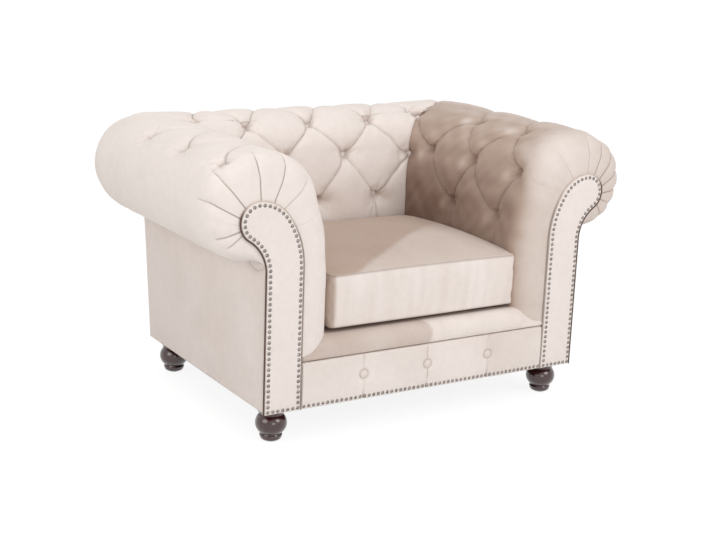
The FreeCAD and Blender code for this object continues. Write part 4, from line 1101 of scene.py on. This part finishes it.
def welt_mesh(side, name):
    """The piped cord: a thin tube along the facing's edge that sinks into the fold over the crown."""
    edge = scroll_edge(-WELT_OUTSIDE, FACING_STEPS)
    length = run_of(edge)
    share = length / length[-1]
    # paler: where the painted gap shade fades to cream over the crown; the cord thins there too
    paler = smooth_share(share, 0.44, 0.475) - 0.55 * smooth_share(share, 0.57, 0.64)
    radius = WELT_RADIUS - WELT_THINNING * paler
    tangent = np.gradient(edge, axis=0)
    tangent /= np.linalg.norm(tangent, axis=1, keepdims=True)
    normal = np.stack([-tangent[:, 1], tangent[:, 0]], 1)
    around = np.linspace(0, math.tau, 10, endpoint=False)
    rows = []
    for angle in around:
        out = radius * math.cos(angle)
        x = (edge[:, 0] + normal[:, 0] * out) * side
        z = edge[:, 1] + normal[:, 1] * out
        rows.append(np.stack([x, WELT_SETBACK + radius * math.sin(angle), z], 1))
    ring = np.stack(rows)
    rows, columns = ring.shape[:2]
    marks = {"nap": np.repeat(paler[None, :], rows, 0)}
    points = to_frame(ring).reshape(-1, 3)
    piece = mesh_piece(f"facing_piping_{name}", points, closed_grid(rows, columns), painted_gap_shade, marks)
    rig.ride(piece, "chair")
    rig.replaces(piece, f"facing_welt_{name}")
    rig.slot(piece, "piping")


for side, name in ((1, "right"), (-1, "left")):
    facing_mesh(side, name)
    welt_mesh(side, name)

# Decorative nails: domed steel heads with an antique finish, driven in close rows round the
# facings and the front border. Their tops are rubbed brighter, and painted shade darkens each head
# towards its rim where the dome turns away from view.

values = {"Bright": tint(172, 164, 160), "Dull": tint(112, 102, 98), "Size": 420.0}
nail_metal, tree, shader, outputs = painted("antique_nails_rim_shade", {"Metallic": 1.0}, metal_wear, values)
# painted shade: darker towards each head's rim by its facing angle
rim = node(tree, "ShaderNodeLayerWeight", {"Blend": 0.35}).outputs["Facing"]
tree.links.new(mix(tree, rim, outputs["Colour"], tint(52, 44, 44)), shader.inputs["Base Color"])
repaint(nail_metal, "facing_nails_left", "facing_nails_right", "border_nails")

# Front border: velour over thin wadding on the front rail, nailed along its edges. Three upright
# pleats are sewn into it, and each is held down by a covered button.

BORDER_HALF = 0.3748
BORDER_SETBACK = 0.002
BORDER_TOP = 0.210
BORDER_BACK = 0.0145
BORDER_PLACES = (-0.195, 0.0, 0.195)
BORDER_BUTTON_HEIGHT = 0.156
BORDER_EDGE = 0.004
BORDER_SWELL = 0.0012


def closed_panel(name, front, back_depth, axis, material, marks=None):
    """A panel from a grid of front places, closed behind it at a depth along an axis."""
    rows, columns = front.shape[:2]
    rear = front.copy()
    rear[..., axis] = back_depth
    points = np.vstack([front.reshape(-1, 3), rear.reshape(-1, 3)])
    index = np.arange(rows * columns).reshape(rows, columns)
    faces = quads(index).tolist() + (quads(index) + rows * columns).tolist()
    rim = np.concatenate([index[0, :-1], index[:-1, -1], index[-1, :0:-1], index[:0:-1, 0]])
    for here, there in zip(rim, np.roll(rim, -1)):
        faces.append((here, there, there + rows * columns, here + rows * columns))
    doubled = {label: np.tile(values.ravel(), 2) for label, values in (marks or {}).items()}
    return mesh_piece(name, to_frame(points), faces, material, doubled)


def rounded_edge(distance, radius):
    """How far a panel's face lies below its crown, at a distance from its edge."""
    inside = np.clip(distance / radius, 0, 1)
    return radius * (1 - np.sqrt(1 - (1 - inside) ** 2))


widths = np.linspace(-BORDER_HALF, BORDER_HALF, 260)
heights = np.linspace(BODY_FOOT, BORDER_TOP, 44)
z, x = np.meshgrid(heights, widths, indexing="ij")
edge = np.minimum(BORDER_TOP - z, z - BODY_FOOT)
depth = rounded_edge(edge, BORDER_EDGE) - BORDER_SWELL * smooth_share(edge, BORDER_EDGE, 0.04)
crease = np.zeros(z.shape)
for place in BORDER_PLACES:
    gap = np.abs(x - place - 0.0015 * np.sin(z * 60))
    pleat = 0.0034 * np.exp(-gap / 0.0022) + 0.0012 * np.exp(-((gap / 0.010) ** 2))
    spread = np.hypot(x - place, z - BORDER_BUTTON_HEIGHT)
    dimple = 0.0060 * np.exp(-((spread / 0.015) ** 3)) + 0.0016 * np.exp(-((spread / 0.026) ** 2))
    depth += np.maximum(pleat, dimple)
    # painted shade along each pleat and round each button's dimple
    crease = np.maximum(crease, 0.55 * np.exp(-gap / 0.0018))
    crease = np.maximum(crease, 0.45 * np.exp(-(((spread - 0.0125) / 0.0028) ** 2)))
depth -= 0.0006 * waves(x, z, 31, 0.12)
front = np.stack([x, BORDER_SETBACK + depth, z], 2)
# the cloth's own uneven tone, and taupe painted pile shade on the panel right of the last pleat
nap = 0.08 + 0.16 * waves(x, z, 33, 0.2) + 0.16 * smooth_share(x, 0.193, 0.20)
border = closed_panel("border_cover", front, BORDER_BACK, 1, cover, {"crease": crease, "nap": nap})
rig.ride(border, "chair")
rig.replaces(border, "front_border")
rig.slot(border, "velour")
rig.padded(border, 0.9)
button_y = FRONT + BORDER_SETBACK + 0.0062
seats = [((place, button_y, BORDER_BUTTON_HEIGHT), (0, -1, 0)) for place in BORDER_PLACES]
domed_buttons("border_button_row", seats, "border_buttons")

# Front lip: a foam roll over the front rail, covered in velour that runs back under the cushion,
# and the flat deck behind it that the cushion lies on.

LIP_BASE = 0.2112
LIP_BACK = 0.0578
LIP_END_RECESS = 0.010
lip_section = [(0.0120, LIP_BASE), (0.0052, 0.2125), (0.0022, 0.2185), (0.0012, 0.2280)]
lip_section += [(0.0030, 0.2400), (0.0085, 0.2505), (0.0180, 0.2590), (0.0290, 0.2645)]
lip_section += [(0.0440, 0.2665), (0.0575, 0.2665)]
fine = np.linspace(0, len(lip_section) - 1, 44)
coarse = np.arange(len(lip_section))
lip_y = np.interp(fine, coarse, [spot[0] for spot in lip_section])
lip_z = np.interp(fine, coarse, [spot[1] for spot in lip_section])
lip_line = eased(np.stack([lip_y, lip_z], 1), 8)
widths = np.linspace(-BORDER_HALF, BORDER_HALF, 240)
y, x = np.meshgrid(lip_line[:, 0], widths, indexing="ij")
z = np.repeat(lip_line[:, 1:], len(widths), 1)
lip_run = np.repeat(run_of(lip_line)[:, None], len(widths), 1)
swell = 0.0012 * waves(x, lip_run * 1.5, 41, 0.10) * smooth_share(lip_run, 0.0, 0.02)
# its ends pass behind the arms' padded noses
behind = smooth_share(np.abs(x), 0.296, 0.330) * smooth_share(z, 0.219, 0.232)
front = np.stack([x, y - swell + LIP_END_RECESS * behind, z + 0.3 * swell], 2)
# painted pile shade over the lip's left half along a wavy line, with the cloth's own uneven tone; painted shade along
# its foot and under the cushion at its rear
curved = x - 0.012 * np.sin(lip_run * 40)
nap = 0.12 + 0.50 * smooth_share(-curved, -0.008, 0.008) + 0.15 * waves(x, lip_run, 43, 0.12)
shade = np.maximum(0.5 * np.exp(-lip_run / 0.003), 0.7 * smooth_share(y, 0.036, 0.046))
lip = closed_panel("lip_cover", front, LIP_BACK, 1, cover, {"nap": nap, "crease": shade})
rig.ride(lip, "chair")
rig.replaces(lip, "front_lip")
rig.slot(lip, "velour")
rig.padded(lip, 0.8)

deck_low, deck_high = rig.box("deck_pad")
widths = np.linspace(deck_low.x, deck_high.x, 60)
depths = np.linspace(deck_low.y - FRONT, deck_high.y - FRONT, 54)
y, x = np.meshgrid(depths, widths, indexing="ij")
edge = np.minimum(np.minimum(x - deck_low.x, deck_high.x - x), np.minimum(y - depths[0], depths[-1] - y))
top = deck_high.z - rounded_edge(edge, 0.004) - 0.0008 * (1 + waves(x, y, 51, 0.15))
# painted shade over the deck's front part, under the cushion
marks = {"nap": np.full(x.shape, 0.3), "crease": 1 - smooth_share(y - depths[0], 0.05, 0.10)}
deck = closed_panel("deck_cover", np.stack([x, y, top], 2), deck_low.z, 2, cover, marks)
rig.ride(deck, "chair")
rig.replaces(deck, "deck_pad")
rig.slot(deck, "velour")
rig.padded(deck, 0.9)

# Outside covers: flat panels of velour over card on both arms and the back, tacked under the roll
# and slip-stitched down the rear corners.

PANEL_TOP = 0.470
PANEL_FRONT = 0.0156
PANEL_INNER = 0.4736
REAR_HALF = 0.473
REAR_THICKNESS = 0.010
PANEL_EDGE = 0.006
BODY_DEPTH = 0.716
LEAN = math.tan(math.radians(6.9))
# the fold under the front of the roll, as places behind the front plane and above the floor
ROLL_FOLD_MIDDLE = (0.062, 0.496)
ROLL_FOLD_SIZE = (0.060, 0.050)
ROLL_FOLD_DEPTH = 0.0045
ROLL_FOLD_TOP = 0.489


def outside_arm(side, name):
    """One side's panel, from behind the facing back to the leaning rear corner."""
    heights = np.linspace(BODY_FOOT, PANEL_TOP, 78)
    shares = np.linspace(0, 1, 130)
    z, share = np.meshgrid(heights, shares, indexing="ij")
    rear = BODY_DEPTH + (z - BODY_FOOT) * LEAN
    y = PANEL_FRONT + (rear - PANEL_FRONT) * share
    edge = np.minimum(np.minimum(y - PANEL_FRONT, rear - y), z - BODY_FOOT)
    sag = rounded_edge(edge, PANEL_EDGE) - 0.0016 * smooth_share(edge, 0.0, 0.08)
    sag -= 0.0009 * waves(y, z, 61, 0.22)
    # the cover is pulled up under the front of the roll, which leaves a curved fold
    from_middle = (y - ROLL_FOLD_MIDDLE[0]) / ROLL_FOLD_SIZE[0]
    bent = np.hypot(from_middle, (z - ROLL_FOLD_MIDDLE[1]) / ROLL_FOLD_SIZE[1])
    sag += ROLL_FOLD_DEPTH * np.exp(-(((bent - 1) / 0.09) ** 2)) * (z < ROLL_FOLD_TOP)
    # painted shade along the curved fold and along the panel's top edge under the roll
    crease = 0.5 * np.exp(-(((bent - 1) / 0.06) ** 2)) * (z < ROLL_FOLD_TOP)
    crease = np.maximum(crease, 0.35 * np.exp(-(PANEL_TOP - z) / 0.006))
    x = (SIDE_X - sag) * side
    marks = {"crease": crease, "nap": np.full(z.shape, 0.18) + 0.08 * waves(y, z, 63, 0.3)}
    face = np.stack([x, y, z], 2)
    piece = closed_panel(f"outside_arm_cover_{name}", face, side * PANEL_INNER, 0, cover, marks)
    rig.ride(piece, "chair")
    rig.replaces(piece, f"outside_arm_{name}")
    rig.slot(piece, "velour")
    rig.padded(piece, 0.95)


outside_arm(1, "right")
outside_arm(-1, "left")
widths = np.linspace(-REAR_HALF, REAR_HALF, 150)
heights = np.linspace(BODY_FOOT, PANEL_TOP + 0.001, 70)
z, x = np.meshgrid(heights, widths, indexing="ij")
edge = np.minimum(REAR_HALF - np.abs(x), z - BODY_FOOT)
y = BODY_DEPTH + (z - BODY_FOOT) * LEAN - rounded_edge(edge, PANEL_EDGE) + 0.0012 * waves(x, z, 65, 0.2)
behind = BODY_DEPTH - REAR_THICKNESS + (z - BODY_FOOT) * LEAN
front = np.stack([x, y, z], 2)
rear_cover = closed_panel("outside_back_cover", front, behind, 1, cover, {"nap": np.full(z.shape, 0.2)})
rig.ride(rear_cover, "chair")
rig.replaces(rear_cover, "outside_back")
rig.slot(rear_cover, "velour")
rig.padded(rear_cover, 0.95)

# Dust cover: thin black cloth, cut flat and stapled all round under the seat rails. It keeps the
# springs clean and sags a little between the rails.

DUST_THICKNESS = 0.0008
DUST_SAG = 0.005
dust_low, dust_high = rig.box("dust_cover")
widths = np.linspace(dust_low.x, dust_high.x, 96)
depths = np.linspace(dust_low.y, dust_high.y, 72)
y, x = np.meshgrid(depths - FRONT, widths, indexing="ij")
edge = np.minimum(np.minimum(x - dust_low.x, dust_high.x - x), np.minimum(y - y.min(), y.max() - y))
sag = DUST_SAG * smooth_share(edge, 0.020, 0.260)
sag += 0.0006 * waves(x, y, 71, 0.10) * smooth_share(edge, 0.0, 0.05)
z = dust_low.z + DUST_THICKNESS - sag
black_cloth = plain_cloth("black_cloth", tint(44, 42, 42), tint(18, 18, 18), 420.0)
dust_sheet = closed_panel("dust_sheet", np.stack([x, y, z], 2), z + DUST_THICKNESS, 2, black_cloth)
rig.ride(dust_sheet, "chair")
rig.replaces(dust_sheet, "dust_cover")
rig.slot(dust_sheet, "black_cloth")
flat_size = (dust_high.x - dust_low.x, dust_high.y - dust_low.y)
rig.sheet(dust_sheet, flat=flat_size, held="stretched", rests_on=["seat_rail_front", "seat_rail_rear"])

# Turned feet: solid hardwood, stained dark mahogany and lacquered to a high gloss. Each screws
# into the frame on a plated hanger bolt and stands on a felt glide.

settings = {"Roughness": 0.22, "Coat Weight": 0.8, "Coat Roughness": 0.08}
values = {"Pale": tint(74, 30, 30), "Dark": tint(40, 16, 18), "Rings": 60.0}
mahogany = painted("polished_mahogany", settings, wood_grain, values, ("Colour",))[0]
repaint(mahogany, "foot_front_left", "foot_front_right", "foot_rear_left", "foot_rear_right")
zinc_plate = plain_metal("zinc_plate", tint(198, 200, 204), tint(150, 152, 156), 120.0)
repaint(zinc_plate, "foot_bolts", "foot_nuts")
repaint(felt, "glides")

# Seat cushion: a foam block in a boxed velour cover, sewn from a top, a base and a border with a
# zip behind. It lies loose on the deck and is blown out a little by its foam.

CUSHION_HALF_WIDTH = 0.2885
CUSHION_HALF_DEPTH = 0.273
CUSHION_MIDDLE = (0.0085, 0.311)
CUSHION_BASE = 0.2703
CUSHION_SEAM_LOW = 0.2775
CUSHION_SEAM_HIGH = 0.4125
CUSHION_CROWN = 0.007
CUSHION_SIDE_BOW = 0.013
CUSHION_FRONT_BOW = 0.003
CUSHION_CORNER = 0.013
CUSHION_GRID = (112, 106)
BORDER_RINGS = 20
CLOTH_FRAMES = 20
# painted pile shade on the cushion's top, lighter to the right of a line across it
LIGHT_START = (-0.2366, 0.0226)
LIGHT_AIM = (0.328, 0.233)
LIGHT_LENGTH = 0.402


def panel_place(a, b, inset=0.0):
    """Where a place of the flat panel lies in plan, its corners rounded; a and b run from -1 to 1."""
    level = np.maximum(np.abs(a), np.abs(b))
    half_x = (CUSHION_HALF_WIDTH - inset) * level
    half_y = (CUSHION_HALF_DEPTH - inset) * level
    corner = CUSHION_CORNER * level
    x = a * (CUSHION_HALF_WIDTH - inset)
    y = b * (CUSHION_HALF_DEPTH - inset)
    over_x = np.maximum(np.abs(x) - (half_x - corner), 0)
    over_y = np.maximum(np.abs(y) - (half_y - corner), 0)
    both = (over_x > 0) & (over_y > 0)
    spread = np.maximum(np.hypot(over_x, over_y), 1e-9)
    factor = np.where(both, np.maximum(over_x, over_y) / spread, 1.0)
    x = np.where(both, np.sign(x) * (half_x - corner + over_x * factor), x)
    y = np.where(both, np.sign(y) * (half_y - corner + over_y * factor), y)
    return x + CUSHION_MIDDLE[0], y + CUSHION_MIDDLE[1]


across, deep = CUSHION_GRID
a, b = np.meshgrid(np.linspace(-1, 1, across), np.linspace(-1, 1, deep), indexing="ij")
x, y = panel_place(a, b)
dome = (1 - a**2) * (1 - b**2)
bow = CUSHION_SIDE_BOW * (1 - b**2) + CUSHION_FRONT_BOW * (1 - a**2)
top = np.stack([x, y, CUSHION_SEAM_HIGH + bow + CUSHION_CROWN * dome**0.55], 2).reshape(-1, 3)
index = np.arange(across * deep).reshape(across, deep)
loop = np.concatenate([index[:-1, 0], index[-1, :-1], index[:0:-1, -1], index[0, :0:-1]])
count = len(loop)
points = [top]
total = len(top)
rings = [loop]
for step in range(1, BORDER_RINGS):
    share = step / BORDER_RINGS
    ring = top[loop].copy()
    level = 0.0012 * math.sin(math.pi * share)
    ring[:, 0] += (ring[:, 0] - CUSHION_MIDDLE[0]) * level / CUSHION_HALF_WIDTH
    ring[:, 1] += (ring[:, 1] - CUSHION_MIDDLE[1]) * level / CUSHION_HALF_DEPTH
    ring[:, 2] += (CUSHION_SEAM_LOW - ring[:, 2]) * share
    points.append(ring)
    rings.append(np.arange(total, total + count))
    total += count
z = CUSHION_BASE + (CUSHION_SEAM_LOW - CUSHION_BASE) * (1 - dome) ** 12
points.append(np.stack([x, y, z], 2).reshape(-1, 3))
rings.append(loop + total)
faces = quads(index).tolist() + (quads(index) + total).tolist()
for upper, lower in zip(rings[:-1], rings[1:]):
    faces += np.stack([upper, np.roll(upper, -1), np.roll(lower, -1), lower], 1).tolist()
points = np.vstack(points)
x, y, z = points.T
on_top = np.zeros(len(points))
on_top[: len(top)] = 1.0
on_top[loop] = 0.5
beside = ((x - LIGHT_START[0]) * LIGHT_AIM[1] - (y - LIGHT_START[1]) * LIGHT_AIM[0]) / LIGHT_LENGTH
lighter = smooth_share(beside, -0.004, 0.020) * (1 - 0.6 * smooth_share(y, 0.20, 0.36))
# painted shade down the cushion's left side
left_side = smooth_share(CUSHION_MIDDLE[0] - CUSHION_HALF_WIDTH + 0.010 - x, -0.008, 0.004)
streaks = 0.12 * waves(x, 0.2 * z + 0.3 * y, 81, 0.035) + 0.08 * waves(x, y, 82, 0.16)
nap = on_top * (1.0 - 0.42 * lighter) + (1 - on_top) * (0.08 + streaks + 0.79 * left_side)
# painted shade along the top seam and under the cushion's base
seam_line = np.zeros(len(points))
seam_line[loop] = 0.55
shade = np.maximum(seam_line, 0.7 * (1 - smooth_share(z, 0.274, 0.2825)))
cushion = mesh_piece("seat_cushion_cover", to_frame(points), faces, cover, {"nap": nap, "crease": shade})


def inflate(piece, pinned, growth, pressure, cap):
    """Lets a padded piece's cloth swell under pressure from its stuffing, held where it is sewn."""
    before = np.zeros(len(piece.data.vertices) * 3)
    piece.data.vertices.foreach_get("co", before)
    held = piece.vertex_groups.new(name="sewn")
    held.add([int(spot) for spot in pinned], 1.0, "REPLACE")
    cloth = piece.modifiers.new("cloth", "CLOTH")
    settings = cloth.settings
    settings.quality = 5
    settings.mass = 0.25
    settings.vertex_group_mass = "sewn"
    settings.shrink_min = -growth
    settings.use_pressure = True
    settings.uniform_pressure_force = pressure
    settings.effector_weights.gravity = 0.0
    settings.tension_stiffness = 12
    settings.compression_stiffness = 12
    settings.bending_stiffness = 0.4
    cloth.point_cache.frame_start = 1
    cloth.point_cache.frame_end = CLOTH_FRAMES
    for frame_number in range(1, CLOTH_FRAMES + 1):
        bpy.context.scene.frame_set(frame_number)
    shaped = piece.evaluated_get(bpy.context.evaluated_depsgraph_get())
    after = np.zeros(len(before))
    shaped.data.vertices.foreach_get("co", after)
    bpy.context.scene.frame_set(1)
    piece.modifiers.remove(cloth)
    piece.vertex_groups.remove(held)
    moved = (after - before).reshape(-1, 3)
    size = np.linalg.norm(moved, axis=1, keepdims=True)
    moved *= np.minimum(1, cap / np.maximum(size, 1e-9))
    piece.data.vertices.foreach_set("co", before + moved.ravel())
    piece.data.update()


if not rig.quick():
    sewn = np.concatenate([loop, rings[-1], np.arange(total, total + across * deep)])
    inflate(cushion, sewn, growth=0.006, pressure=3.0, cap=0.012)
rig.ride(cushion, "cushion")
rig.replaces(cushion, "seat_cushion")
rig.slot(cushion, "velour")
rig.padded(cushion, 0.9)
repaint(plain_cloth("zip_cloth", tint(214, 204, 194), tint(168, 156, 146), 1100.0), "zip_tape")
repaint(plain_metal("zip_metal", tint(176, 176, 180), tint(128, 126, 128), 400.0), "zip_slider")

# Studio: a pale floor that runs back out of sight, soft light from all round, and broad lamps in
# front, at the left and overhead. None of it belongs to the chair.


def seen_directly(owner):
    """An emptied node tree, and where in it a ray comes from the camera or by way of a clear surface."""
    owner.use_nodes = True
    tree = owner.node_tree
    tree.nodes.clear()
    path = node(tree, "ShaderNodeLightPath").outputs
    seen = maths(tree, "MAXIMUM", path["Is Camera Ray"], path["Is Glossy Ray"])
    return tree, maths(tree, "MAXIMUM", seen, path["Is Transmission Ray"])


FLOOR_HALF = 12
floor_corners = [(x * FLOOR_HALF, y * FLOOR_HALF, 0) for x, y in ((-1, -1), (1, -1), (1, 1), (-1, 1))]
scene = bpy.context.scene
floor_mesh = bpy.data.meshes.new("studio_floor")
floor_mesh.from_pydata(floor_corners, [], [(0, 1, 2, 3)])
floor = bpy.data.objects.new("studio_floor", floor_mesh)
scene.collection.objects.link(floor)
paper = bpy.data.materials.new("white_paper")
tree, seen = seen_directly(paper)
matt = node(tree, "ShaderNodeBsdfDiffuse", {"Color": (0.80, 0.80, 0.80, 1)}).outputs[0]
thin = node(tree, "ShaderNodeBsdfDiffuse", {"Color": (0.22, 0.22, 0.22, 1)}).outputs[0]
glow = node(tree, "ShaderNodeEmission", {"Color": (1, 1, 1, 1), "Strength": 0.88}).outputs[0]
lifted = node(tree, "ShaderNodeAddShader", {0: thin, 1: glow}).outputs[0]
chosen = node(tree, "ShaderNodeMixShader", {0: seen, 1: matt, 2: lifted}).outputs[0]
node(tree, "ShaderNodeOutputMaterial", {"Surface": chosen})
floor_mesh.materials.append(paper)
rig.stage(floor)

world = bpy.data.worlds.new("studio")
scene.world = world
tree, seen = seen_directly(world)
room = node(tree, "ShaderNodeBackground", {"Color": (1.0, 0.99, 0.985, 1), "Strength": 0.60}).outputs[0]
white = node(tree, "ShaderNodeBackground", {"Color": (1, 1, 1, 1), "Strength": 1.0}).outputs[0]
chosen = node(tree, "ShaderNodeMixShader", {0: seen, 1: room, 2: white}).outputs[0]
node(tree, "ShaderNodeOutputWorld", {"Surface": chosen})


def lamp(name, spot, aim, size, power, colour):
    """A broad lamp at a spot, turned towards its aim."""
    data = bpy.data.lights.new(name, "AREA")
    data.shape = "RECTANGLE"
    data.size, data.size_y = size
    data.energy = power
    data.color = colour
    made = bpy.data.objects.new(name, data)
    made.location = spot
    made.rotation_euler = (Vector(aim) - Vector(spot)).to_track_quat("-Z", "Y").to_euler()
    scene.collection.objects.link(made)


lamp("key_lamp", (1.3, -3.1, 2.3), (0.0, 0.0, 0.35), (1.6, 1.6), 36.0, (1.0, 0.985, 0.975))
lamp("side_lamp", (-3.2, -0.9, 1.7), (0.0, 0.0, 0.35), (1.8, 1.6), 24.0, (1.0, 0.985, 0.975))
lamp("front_lamp", (-0.9, -3.6, 0.9), (0.0, 0.0, 0.3), (1.4, 1.0), 11.0, (1.0, 0.985, 0.975))
lamp("top_lamp", (-0.4, 0.3, 3.2), (0.0, 0.0, 0.4), (2.4, 2.0), 17.0, (1.0, 0.99, 0.985))

# Camera: at the photograph's place, height and tilt, worked out from the chair's own corners and
# nail rows, with the same length of lens.

camera_data = bpy.data.cameras.new("camera")
camera_data.lens = 68.396
camera_data.sensor_width = 36.0
camera = bpy.data.objects.new("camera", camera_data)
right = Vector((0.85387, -0.51920, 0.03647))
up = Vector((0.09995, 0.23233, 0.96748))
back = Vector((-0.51079, -0.82246, 0.25028))
turn = Matrix((right, up, back)).transposed().to_4x4()
camera.matrix_world = Matrix.Translation((-1.9499, -3.2086, 1.2780)) @ turn
scene.collection.objects.link(camera)
scene.camera = camera
scene.view_settings.view_transform = "Standard"

low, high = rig.bounds()
with open("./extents.json", "w") as file:
    json.dump({"cad": [list(cad_low), list(cad_high)], "visual": [list(low), list(high)]}, file)
